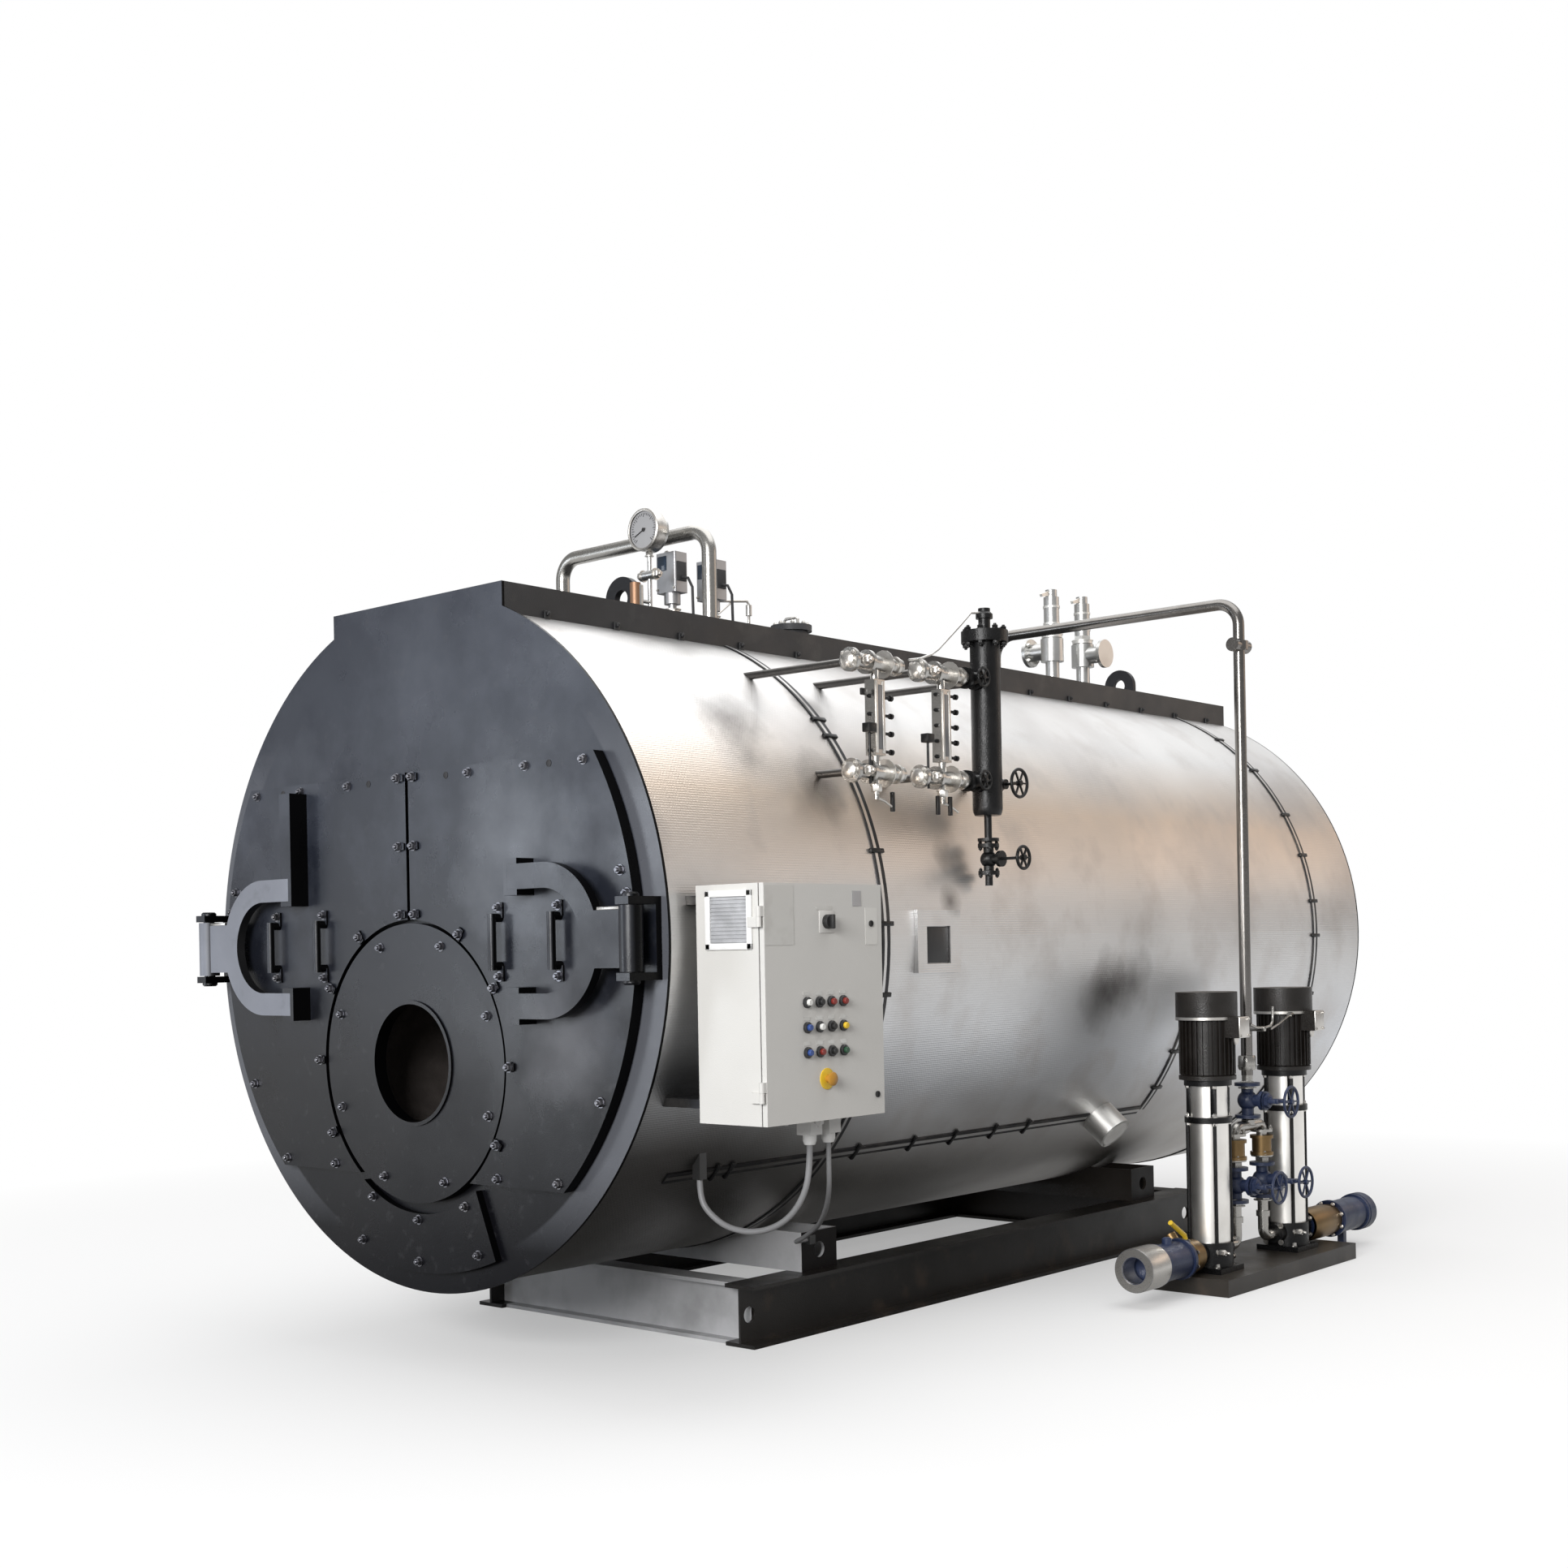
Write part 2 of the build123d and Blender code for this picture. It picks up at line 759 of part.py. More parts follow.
def front():
    """Everything behind and between the doors."""
    keep("burner_plate", burner_plate())
    keep("cleaning_hatch", hatch())
    keep("furnace_tube", furnace())
    keep("tube_plates", front_tube_plate(), tube_plate(rear_tube_plate))
    keep("smoke_tubes", *smoke_tubes())


def lug(y):
    """A lifting eye plate across the boiler's axis, with a round head."""
    head_z = walkway_top + lug_height - lug_radius
    y0 = y - lug_thickness / 2
    y1 = y + lug_thickness / 2
    plate = block(-lug_radius, lug_radius, y0, y1, walkway_top, head_z)
    plate += rod_y(lug_radius, y0, y1, 0, head_z)
    return plate - rod_y(lug_hole_radius, y0 - tiny, y1 + tiny, 0, head_z)


def pressure_gauge():
    """A dial gauge on its stem, facing the front, with its siphon pot beside it."""
    dial = rod_y(gauge_radius, gauge_y - gauge_depth / 2, gauge_y + gauge_depth / 2, gauge_x, gauge_level)
    stem = rod_z(gauge_stem_radius, walkway_top, gauge_level, gauge_x, gauge_y)
    ends = (gauge_x - gauge_cross_half, gauge_x + gauge_cross_half)
    cross = rod_x(0.8 * siphon_radius, *ends, gauge_y, gauge_level - gauge_cross_drop)
    pot_y = gauge_y - siphon_setback
    pot_low = walkway_top + siphon_rise
    pot = rod_z(siphon_radius, pot_low, pot_low + siphon_length, gauge_x, pot_y)
    foot = rod_z(siphon_radius / 2, walkway_top, pot_low, gauge_x, pot_y)
    link = rod_y(siphon_radius / 3, pot_y, gauge_y, gauge_x, pot_low + siphon_length / 2)
    return dial + stem + cross + pot + foot + link


def pressure_switch(y):
    """A pressure switch: a box on a stem with a hexagon foot."""
    low = switch_top - switch_height
    half_x = switch_width / 2
    half_y = switch_depth / 2
    body = block(switch_x - half_x, switch_x + half_x, y - half_y, y + half_y, low, switch_top)
    body = fillet(body.edges().filter_by(Axis.Z), switch_corner)
    stem = rod_z(switch_stem_radius, walkway_top, low, switch_x, y)
    bell_low = low - switch_bell_height
    bell = rod_z(2 * switch_stem_radius, bell_low, low, switch_x, y)
    return body + stem + bell


def header_pipe():
    """The bent pipe across the top, from one side of the walkway to the other."""
    z = header_pipe_level
    path = FilletPolyline(
        (header_pipe_left, header_pipe_y, walkway_top),
        (header_pipe_left, header_pipe_y, z),
        (header_pipe_right, header_pipe_y, z),
        (header_pipe_right, header_pipe_y, walkway_top),
        radius=3 * header_pipe_radius,
    )
    section = Plane(origin=path @ 0, z_dir=path % 0) * Circle(header_pipe_radius)
    return sweep(section, path=path)


def top_cover():
    """The round inspection cover on its short neck."""
    cap_z = walkway_top + top_cover_height
    neck = rod_z(0.8 * top_cover_radius, walkway_top, cap_z, 0, top_cover_y)
    cap = rod_z(top_cover_radius, cap_z - top_cover_cap, cap_z, 0, top_cover_y)
    return neck + cap


def safety_valve(y, side):
    """A spring safety valve: flanged inlet, body, side outlet and tall bonnet with its cap."""
    inlet = rod_z(0.6 * valve_body_radius, walkway_top, valve_body_level, 0, y)
    foot = rod_z(1.35 * valve_body_radius, walkway_top, walkway_top + flange_thickness, 0, y)
    low = valve_body_level - valve_body_radius
    body = rod_z(valve_body_radius, low, valve_body_level + valve_body_radius, 0, y)
    outlet = rod_x(0.75 * valve_body_radius, 0, side * valve_outlet_reach, y, valve_body_level)
    face = side * (valve_outlet_reach - flange_thickness)
    rim = rod_x(1.25 * valve_body_radius, face, side * valve_outlet_reach, y, valve_body_level)
    cap_low = valve_top - valve_cap_height
    bonnet = rod_z(valve_bonnet_radius, valve_body_level, cap_low, 0, y)
    cap = rod_z(0.75 * valve_bonnet_radius, cap_low, valve_top, 0, y)
    return inlet + foot + body + outlet + rim + bonnet + cap


def top_fittings():
    """Everything that stands on the walkway."""
    keep("lifting_lugs", lug(front_lug_y), lug(rear_lug_y))
    keep("pressure_gauge", pressure_gauge())
    keep("pressure_switches", pressure_switch(switch_front_y), pressure_switch(switch_rear_y))
    keep("header_pipe", header_pipe())
    keep("safety_valves", safety_valve(valve_front_y, -1), safety_valve(valve_rear_y, 1))


def level_gauge(y):
    """A reflex level gauge: glass body between two cocks that lie along Y."""
    x = gauge_line_x
    glass_y = y + glass_offset
    body = block(
        x - glass_depth / 2,
        x + glass_depth / 2,
        glass_y - glass_width / 2,
        glass_y + glass_width / 2,
        lower_level + glass_margin,
        upper_level - glass_margin,
    )
    for z, turn in ((upper_level, -1), (lower_level, 1)):
        body += rod_y(cock_radius, y, y + cock_length, x, z)
        body += rod_z(cock_radius / 2, z, z + turn * glass_margin, x, glass_y)
        for flange_y in (y, y + 0.32 * cock_length):
            body += rod_y(1.5 * cock_radius, flange_y, flange_y + 16, x, z)
    drain_end = lower_level - 1.6 * glass_margin
    return body + rod_z(cock_radius / 3, drain_end, lower_level, x, glass_y)


def shell_pipe(y, z, x1):
    """A level pipe from the cladding straight out to x1."""
    return off_shell(rod_x(level_pipe_radius, 0, x1, y, z))


def level_pipes():
    """The short pipes between the shell and the gauges, and between the shell and the column."""
    pipes = []
    end = gauge_line_x - cock_radius - fit
    for y in (gauge_front_y, gauge_rear_y):
        for z in (upper_level, lower_level):
            pipes.append(shell_pipe(y + 3 * level_pipe_radius, z, end))
    pipes.append(shell_pipe(column_y, upper_level, gauge_line_x))
    column = rod_z(column_radius + fit, 0, walkway_top, gauge_line_x, column_y)
    return [pipe - column for pipe in pipes]


def level_column():
    """The upright level vessel with its flanged lid, probe neck and rounded lower end."""
    x, y = gauge_line_x, column_y
    body = rod_z(column_radius, column_bottom + column_radius / 2, column_top, x, y)
    bowl = Pos(x, y, column_bottom + column_radius / 2) * Sphere(column_radius)
    size = 2 * column_radius
    bowl = bowl & block(x - size, x + size, y - size, y + size, column_bottom, column_bottom + column_radius)
    lid = rod_z(column_flange_radius, column_top, column_top + column_flange, x, y)
    neck_top = column_top + column_flange + column_neck_height
    neck = rod_z(column_neck_radius, column_top + column_flange, neck_top, x, y)
    return body + bowl + lid + neck


def globe_valve(x, y, z, size, wheel_x):
    """A globe valve on an upright pipe: round body, two flanges, and a spindle along +X to its wheel."""
    body = Pos(x, y, z) * Sphere(size)
    for side in (-1, 1):
        rim = z + side * 1.6 * size
        body += rod_z(1.25 * size, rim - valve_flange / 2, rim + valve_flange / 2, x, y)
    body += rod_z(0.6 * size, z - 1.6 * size, z + 1.6 * size, x, y)
    body += rod_x(0.6 * size, x, x + 1.5 * size, y, z)
    body += rod_x(0.95 * size, x + 1.5 * size, x + 1.5 * size + valve_flange, y, z)
    return body + rod_x(spindle_radius, x, wheel_x - wheel_hub_length / 2 - fit, y, z)


def link_valve(z):
    """A flanged valve on the pipe between the rear level gauge and the column."""
    size = column_valve_size
    near = gauge_rear_y + cock_length + fit
    middle = (near + column_y - column_radius) / 2
    valve = rod_y(drain_radius, near, column_y, gauge_line_x, z)
    valve += Pos(gauge_line_x, middle, z) * Rot(90, 0, 0) * Sphere(size)
    for rim in (middle - size, middle + size):
        valve += rod_y(1.25 * size, rim - valve_flange / 2, rim + valve_flange / 2, gauge_line_x, z)
    return valve + rod_x(0.7 * size, gauge_line_x, gauge_line_x + 1.5 * size, middle, z)


def column_valves():
    """The valves of the column: drain, shut-off towards the shell and two towards the gauges."""
    x, y = gauge_line_x, column_y
    size = column_valve_size
    drain = globe_valve(x, y, drain_valve_level, size, drain_wheel_x)
    drain += rod_z(drain_radius, drain_valve_level + 1.6 * size, column_bottom - fit, x, y)
    drain += rod_z(drain_radius, drain_bottom, drain_valve_level - 1.6 * size, x, y)
    shut_off = off_shell(rod_x(drain_radius, 0, shell_valve_x, shell_valve_y, lower_level))
    shut_off += Pos(shell_valve_x, shell_valve_y, lower_level) * Sphere(size)
    shut_off += rod_y(drain_radius, column_y, shell_valve_y, shell_valve_x, lower_level)
    end = shell_wheel_x - wheel_hub_length / 2 - fit
    shut_off += rod_x(spindle_radius, shell_valve_x, end, shell_valve_y, lower_level)
    shut_off += rod_x(0.6 * size, shell_valve_x, shell_valve_x + 1.35 * size, shell_valve_y, lower_level)
    column = rod_z(column_radius + fit, column_bottom, column_top, x, y)
    return drain, shut_off - column, *[link_valve(z) - column for z in (upper_level, lower_level)]


def handwheel(radius, x, y, z):
    """A spoked handwheel whose axle lies along X, on the end of a spindle that stops at its hub."""
    wheel = Pos(x, y, z) * Rot(0, 90, 0) * Torus(radius - wheel_rim, wheel_rim)
    for angle in (0, 60, 120):
        spoke = Rot(angle, 0, 0) * Box(wheel_rim, 2 * (radius - wheel_rim), wheel_rim)
        wheel += Pos(x, y, z) * spoke
    return wheel + rod_x(wheel_hub, x - wheel_hub_length / 2, x + wheel_hub_length / 2, y, z)


def side_fittings():
    """Level gauges, column, plate holder and nozzle on the +X side."""
    keep("level_gauges", level_gauge(gauge_front_y), level_gauge(gauge_rear_y))
    keep("level_pipes", *level_pipes())
    keep("level_column", level_column())
    keep("column_valves", *column_valves())
    keep("drain_handwheel", handwheel(drain_wheel_radius, drain_wheel_x, column_y, drain_valve_level))
    keep("shell_valve_handwheel", handwheel(shell_wheel_radius, shell_wheel_x, shell_valve_y, lower_level))
    half = holder_height / 2
    plate = block(
        0.9 * shell_radius,
        shell_radius + holder_depth,
        holder_y,
        holder_y + holder_width,
        holder_level - half,
        holder_level + half,
    )
    low = holder_level + holder_window_level - holder_window_height / 2
    y0 = holder_y + holder_window_y
    window = (y0, y0 + holder_window_width, low, low + holder_window_height)
    keep("plate_holder", off_shell(plate - block(0, 2 * shell_radius, *window)))
    keep("side_nozzle", off_shell(nozzle_bar(nozzle_radius)))


def nozzle_bar(radius):
    """A round bar from the boiler's axis out through the side nozzle's place."""
    length = shell_radius + nozzle_reach
    start = Pos(0, nozzle_y, 0) * Rot(0, nozzle_angle, 0)
    return start * Pos(length / 2, 0, 0) * Rot(0, 90, 0) * Cylinder(radius, length)


def cabinet_body():
    """The cabinet's case, open towards its door."""
    x0, x1 = cabinet_x, cabinet_x + cabinet_depth
    y0, y1 = cabinet_y, cabinet_y + cabinet_width
    z0, z1 = cabinet_bottom, cabinet_bottom + cabinet_height
    s = cabinet_sheet
    return block(x0, x1, y0, y1, z0, z1) - block(x0 + s, x1 + tiny, y0 + s, y1 - s, z0 + s, z1 - s)


def cabinet_bars():
    """Two bars that carry the cabinet from the cladding."""
    bars = []
    for z in (cabinet_bottom + 0.08 * cabinet_height, cabinet_bottom + 0.94 * cabinet_height):
        low = z - cabinet_bar / 2
        y1 = cabinet_y + cabinet_width
        bar = block(0.6 * shell_radius, cabinet_x, cabinet_y, y1, low, low + cabinet_bar)
        bars.append(off_shell(bar))
    return bars


def cabinet_hinge(z):
    """A lift-off hinge: the case's knuckle with its pin, and the door's knuckle above it."""
    x, y = cabinet_pin_x, cabinet_pin_y
    inner = cabinet_x + cabinet_depth - hinge_pad_inset - hinge_pad
    low = rod_z(knuckle_radius, z - knuckle_length, z - fit, x, y)
    low += block(inner, x, y, y + hinge_leaf, z - knuckle_length, z - fit)
    low += block(inner, inner + hinge_pad, y, cabinet_y, z - knuckle_length, z - fit)
    high = rod_z(knuckle_radius, z + fit, z + knuckle_length, x, y)
    high += block(x - knuckle_radius, x + knuckle_radius, y, cabinet_y, z + fit, z + knuckle_length)
    high -= rod_z(cabinet_pin_radius + pin_clearance, z, z + 2 * knuckle_length, x, y)
    return low + rod_z(cabinet_pin_radius, z - knuckle_length, z + knuckle_length, x, y), high


def cabinet():
    """The cabinet with its door, hinges, bars and cable glands."""
    keep("control_cabinet", cabinet_body())
    x0 = cabinet_x + cabinet_depth + cabinet_door_gap
    y1 = cabinet_y + cabinet_width
    z1 = cabinet_bottom + cabinet_height
    keep("cabinet_door", block(x0, x0 + cabinet_door_thickness, cabinet_y, y1, cabinet_bottom, z1))
    keep("cabinet_bars", *cabinet_bars())
    hinges = [cabinet_hinge(z) for z in (cabinet_bottom + knuckle_inset, z1 - knuckle_inset)]
    keep("cabinet_hinges", *[low for low, _ in hinges])
    keep("cabinet_door_knuckles", *[high for _, high in hinges])
    glands = []
    for y in (gland_first_y, gland_second_y):
        half = gland_size / 2
        low = cabinet_bottom - gland_height
        glands.append(block(gland_x - half, gland_x + half, y - half, y + half, low, cabinet_bottom))
    return glands


def pump_base(y, turn):
    """The cast foot of a pump with its inlet branch on one side and its outlet on the other."""
    half = pump_base_half
    base = block(pump_x - half, pump_x + half, y - half, y + half, skid_top, skid_top + pump_base_plate)
    base += rod_z(stack_radius + pump_base_rim, skid_top, skid_top + pump_base_height, pump_x, y)
    ends = (y - turn * pump_outlet_reach, y + turn * pump_inlet_reach)
    return base + rod_y(manifold_radius, *ends, pump_x, manifold_level)


def pump_stack(y):
    """The stainless stage cylinder."""
    return rod_z(stack_radius, skid_top + pump_base_height, stack_top, pump_x, y)


def pump_lantern(y):
    """The dark casting between the stage cylinder and the motor: two flanges on a core."""
    lantern = rod_z(lantern_core_radius, stack_top, lantern_top, pump_x, y)
    lantern += rod_z(lantern_radius, stack_top, stack_top + lantern_flange, pump_x, y)
    return lantern + rod_z(lantern_radius, lantern_top - lantern_flange, lantern_top, pump_x, y)


def coupling_guard(y):
    """The bright sheet round the coupling, between the flanges of the lantern."""
    low = stack_top + lantern_flange
    high = lantern_top - lantern_flange
    guard = rod_z(guard_radius, low, high, pump_x, y)
    return guard - rod_z(guard_radius - guard_sheet, low - tiny, high + tiny, pump_x, y)


def pump_motor(y):
    """The motor with its wider fan cover and its terminal box."""
    shoulder = motor_top - fan_cover_share * motor_height
    body = rod_z(motor_neck_radius, lantern_top, shoulder, pump_x, y)
    half = terminal_box_half
    middle = motor_top - terminal_box_drop
    body += block(pump_x, pump_x + terminal_box_reach, y - half, y + half, middle - half, middle + half)
    return body + rod_z(motor_radius, shoulder, motor_top, pump_x, y)


def suction_valve(y, turn, strainer, body, end):
    """The strainer, the valve body and the open end on a pump's inlet, one behind the other."""
    near = y + turn * pump_inlet_reach
    body_start = near + turn * strainer
    body_end = body_start + turn * body
    far = body_end + turn * end
    line = rod_y(strainer_radius, near, body_start, pump_x, manifold_level)
    line += rod_y(suction_body_radius, body_start, body_end, pump_x, manifold_level)
    line += rod_y(suction_end_radius, body_end, far, pump_x, manifold_level)
    bore = (far - turn * suction_bore_depth, far + turn * tiny)
    return line - rod_y(suction_bore_radius, *bore, pump_x, manifold_level)


def suction_foot():
    """The foot under the rear suction valve, which stands on the floor behind the skid."""
    y = rear_pump_y + pump_inlet_reach + rear_strainer_length + rear_suction_body / 2
    half = suction_foot_half
    top = manifold_level - suction_body_radius + half
    post = block(pump_x - half, pump_x + half, y - half, y + half, floor, top)
    wide = 3 * half
    return post + block(pump_x - wide, pump_x + wide, y - wide, y + wide, floor, floor + skid_sheet)


def discharge(y, turn):
    """A pump's outlet pipe: out of the foot, up through its valves and back to the middle."""
    riser_y = y - turn * riser_offset
    path = FilletPolyline(
        (pump_x, y - turn * (pump_outlet_reach + fit), manifold_level),
        (pump_x, riser_y, manifold_level),
        (pump_x, riser_y, joint_level),
        (pump_x, feed_pipe_y, joint_level),
        radius=1.6 * riser_radius,
    )
    section = Plane(origin=path @ 0, z_dir=path % 0) * Circle(riser_radius)
    return sweep(section, path=path)


def check_valve(y):
    """A bronze disc valve on a riser: drum, two flanges."""
    low = check_level - check_half
    high = check_level + check_half
    body = rod_z(check_radius, low, high, pump_x, y)
    body += rod_z(1.2 * check_radius, low, low + valve_flange, pump_x, y)
    body += rod_z(1.2 * check_radius, high - valve_flange, high, pump_x, y)
    return body - rod_z(riser_radius + fit, low - tiny, high + tiny, pump_x, y)


def riser_valve(y, z):
    """A blue stop valve threaded on its pipe."""
    valve = globe_valve(pump_x, y, z, riser_valve_size, pump_x + riser_wheel_reach)
    reach = 2 * riser_valve_size
    return valve - rod_z(riser_radius + fit, z - reach, z + reach, pump_x, y)


def pump_skid():
    """The tray of bent sheet that the pumps stand on."""
    x1, y1 = skid_x + skid_width, skid_y + skid_length
    tray = block(skid_x, x1, skid_y, y1, floor, skid_top)
    s = skid_sheet
    return tray - block(skid_x + s, x1 - s, skid_y + s, y1 - s, floor, skid_top - s)


def pumps():
    """The pump set: skid, two pumps, their valves and the pipework between them."""
    keep("pump_skid", pump_skid())
    places = ((front_pump_y, -1), (rear_pump_y, 1))
    bases = [pump_base(y, turn) for y, turn in places]
    keep("pump_castings", *bases, *[pump_lantern(y) for y, _ in places])
    keep("pump_stacks", *[pump_stack(y) for y, _ in places], *[coupling_guard(y) for y, _ in places])
    keep("pump_motors", *[pump_motor(y) for y, _ in places])
    front_suction = suction_valve(
        front_pump_y, -1, front_strainer_length, front_suction_body, front_suction_end
    )
    rear_suction = suction_valve(rear_pump_y, 1, rear_strainer_length, rear_suction_body, rear_suction_end)
    keep("suction_valves", front_suction, rear_suction + suction_foot())
    pipes = [discharge(*place) for place in places]
    main = rod_z(riser_radius, joint_level, feed_joint_level, pump_x, feed_pipe_y)
    keep("discharge_pipes", pipes[0] + pipes[1] + main)
    risers = [y - turn * riser_offset for y, turn in places]
    keep("check_valves", *[check_valve(y) for y in risers])
    valves = [(risers[0], riser_valve_level), (risers[1], riser_valve_level), (feed_pipe_y, feed_valve_level)]
    keep("discharge_valves", *[riser_valve(y, z) for y, z in valves])
    for name, (y, z) in zip(("front_stop", "rear_stop", "feed_stop"), valves):
        keep(f"{name}_handwheel", handwheel(riser_wheel_radius, pump_x + riser_wheel_reach, y, z))


def feed_pipe():
    """The feed pipe: up from the pumps, over to the shell and down into its top."""
    path = FilletPolyline(
        (pump_x, feed_pipe_y, feed_joint_level),
        (pump_x, feed_pipe_y, feed_pipe_level),
        (feed_inlet_x, feed_pipe_y, feed_pipe_level),
        (feed_inlet_x, feed_pipe_y, walkway_top),
        radius=feed_pipe_bend,
    )
    section = Plane(origin=path @ 0, z_dir=path % 0) * Circle(feed_pipe_radius)
    pipe = sweep(section, path=path)
    low = check_valve_level - check_valve_height / 2
    body = rod_z(1.6 * feed_pipe_radius, low, low + check_valve_height, pump_x, feed_pipe_y)
    ends = (feed_pipe_y - check_valve_half, feed_pipe_y + check_valve_half)
    return pipe + body + rod_y(1.2 * feed_pipe_radius, *ends, pump_x, check_valve_level)


def cord(points, radius):
    """A hanging cable along hand-set points, with arcs as large as the runs allow."""
    radii = []
    corners = [Vector(*point) for point in points]
    for before, corner, after in zip(corners, corners[1:], corners[2:]):
        first, second = corner - before, after - corner
        turn = math.radians(first.get_angle(second))
        radii.append(0.45 * min(first.length, second.length) / math.tan(turn / 2))
    path = FilletPolyline(*corners, radius=radii)
    section = Plane(origin=path @ 0, z_dir=path % 0) * Circle(radius)
    tube = sweep(section, path=path)
    print("cable radii", [round(value) for value in radii], "length", round(path.length))
    print("volume over section and length", round(tube.volume / (math.pi * radius**2 * path.length), 4))
    return tube


def cables(glands):
    """The two cables that hang from the cabinet, with the glands at both ends."""
    x, y, z = gland_x, gland_first_y, cabinet_bottom - gland_height
    end_x, end_y, end_z = shell_socket_x, shell_socket_y, shell_socket_level
    first = [
        (x, y, z - fit),
        (x, y, z - 110),
        (x - 22, y - 9, z - 215),
        (x - 95, y - 21, z - 305),
        (x - 218, y - 33, z - 352),
        (end_x + 125, end_y + 11, end_z - 167),
        (end_x + 40, end_y + 4, end_z - 120),
        (end_x, end_y, end_z - 67),
        (end_x, end_y, end_z - fit),
    ]
    keep("long_cable", cord(first, cable_radius))
    y = gland_second_y
    half = socket_size / 2
    end_x, end_y, end_z = saddle_half_width + half, saddle_socket_y, saddle_socket_level
    second = [
        (x, y, z - fit),
        (x, y, z - 120),
        (x - 42, y + 49, z - 225),
        (x - 145, y + 145, z - 310),
        (x - 280, y + 269, z - 380),
        (end_x + 290, end_y - 310, end_z + 95),
        (end_x + 145, end_y - 182, end_z + 45),
        (end_x + 40, end_y - 110, end_z + 10),
        (end_x, end_y - 60, end_z),
        (end_x, end_y - fit, end_z),
    ]
    keep("short_cable", cord(second, second_cable_radius))
    sides = (shell_socket_x - half, shell_socket_x + half, shell_socket_y - half, shell_socket_y + half)
    on_shell = block(*sides, shell_socket_level, 0)
    on_saddle = block(end_x - half, end_x + half, end_y, end_y + socket_size, end_z - half, end_z + half)
    keep("cable_glands", *glands, off_shell(on_shell), on_saddle)


def main():
    os.makedirs("parts", exist_ok=True)
    base_frame()
    shell()
    keep("cladding_bands", band(band_front_y), band(band_rear_y), half_band(), long_strap())
    rear_fittings()
    front()
    doors()
    top_fittings()
    side_fittings()
    glands = cabinet()
    pumps()
    keep("feed_pipe", feed_pipe())
    cables(glands)


main()
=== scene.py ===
"""Looks of the industrial boiler: finishes, small fittings, cables, floor, light and camera."""

import json
from math import cos, pi, radians, sin, sqrt
import random

import bmesh
import bpy
from mathutils import Matrix, Vector


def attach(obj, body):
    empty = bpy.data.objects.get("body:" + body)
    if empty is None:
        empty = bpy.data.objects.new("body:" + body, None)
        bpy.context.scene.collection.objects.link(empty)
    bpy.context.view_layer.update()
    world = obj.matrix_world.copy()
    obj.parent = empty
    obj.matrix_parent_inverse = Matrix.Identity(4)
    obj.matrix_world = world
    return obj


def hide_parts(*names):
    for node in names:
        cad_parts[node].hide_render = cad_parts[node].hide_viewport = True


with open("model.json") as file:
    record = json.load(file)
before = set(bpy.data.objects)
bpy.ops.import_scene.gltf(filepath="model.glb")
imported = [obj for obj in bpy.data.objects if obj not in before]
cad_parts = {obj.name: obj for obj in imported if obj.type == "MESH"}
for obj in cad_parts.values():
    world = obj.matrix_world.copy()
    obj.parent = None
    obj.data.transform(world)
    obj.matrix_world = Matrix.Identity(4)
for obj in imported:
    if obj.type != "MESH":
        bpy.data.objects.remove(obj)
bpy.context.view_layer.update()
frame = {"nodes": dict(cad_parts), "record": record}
nodes = frame["nodes"]
random.seed(7)

# Heights below count in millimetres from the boiler's axis and lengths from its front plate,
# and at() turns them into metres in the frame.
AXIS_HEIGHT = 1575.0
ORIGIN_Y = 1005.0

# Named places of the solids, in millimetres
LENGTH = 5340.0
DOOR_FACE = -50.0
BURNER_LEVEL = -442.0
BURNER_FACE = -46.0
BURNER_BOLT_CIRCLE = 467.0
BURNER_CLAMP_CIRCLE = 558.0
HATCH_FACE = -30.0
WALKWAY = 1290.0
CABINET_DOOR_X = 1621.0
CABINET_Y = (112.0, 724.0)
CABINET_Z = (-618.0, 172.0)
GAUGE_LINE = 1320.0
UPPER_LEVEL = 1012.0
LOWER_LEVEL = 606.0
GAUGES_Y = (945.0, 1360.0)
COLUMN_Y = 1812.0
DIAL = (210.0, 1011.0, 1672.0)
DIAL_RADIUS = 86.0
GAUGE = (210.0, 1040.0)
HINGE_X = 1238.0
HINGE_Y = -112.0
BRACKET_HALF = 138.0
PUMP_X = 1560.0
PUMPS_Y = (3125.0, 3865.0)
BANDS_Y = (1185.0, 4805.0)


def at(x, y, z):
    """A point of the part, from millimetres to the frame's metres."""
    return Vector((x / 1000, (y - ORIGIN_Y) / 1000, (z + AXIS_HEIGHT) / 1000))


# Shapes

SHARP_ANGLE = 38


def around(count, start=0.0):
    """Cosine and sine of equal steps round a circle, from a start in degrees."""
    for index in range(count):
        angle = radians(start + 360 / count * index)
        yield cos(angle), sin(angle)


def sleeve(inner, outer, height):
    """The profile of a plain ring or disc, for turned()."""
    return [(inner, 0), (outer, 0), (outer, height), (inner, height)]


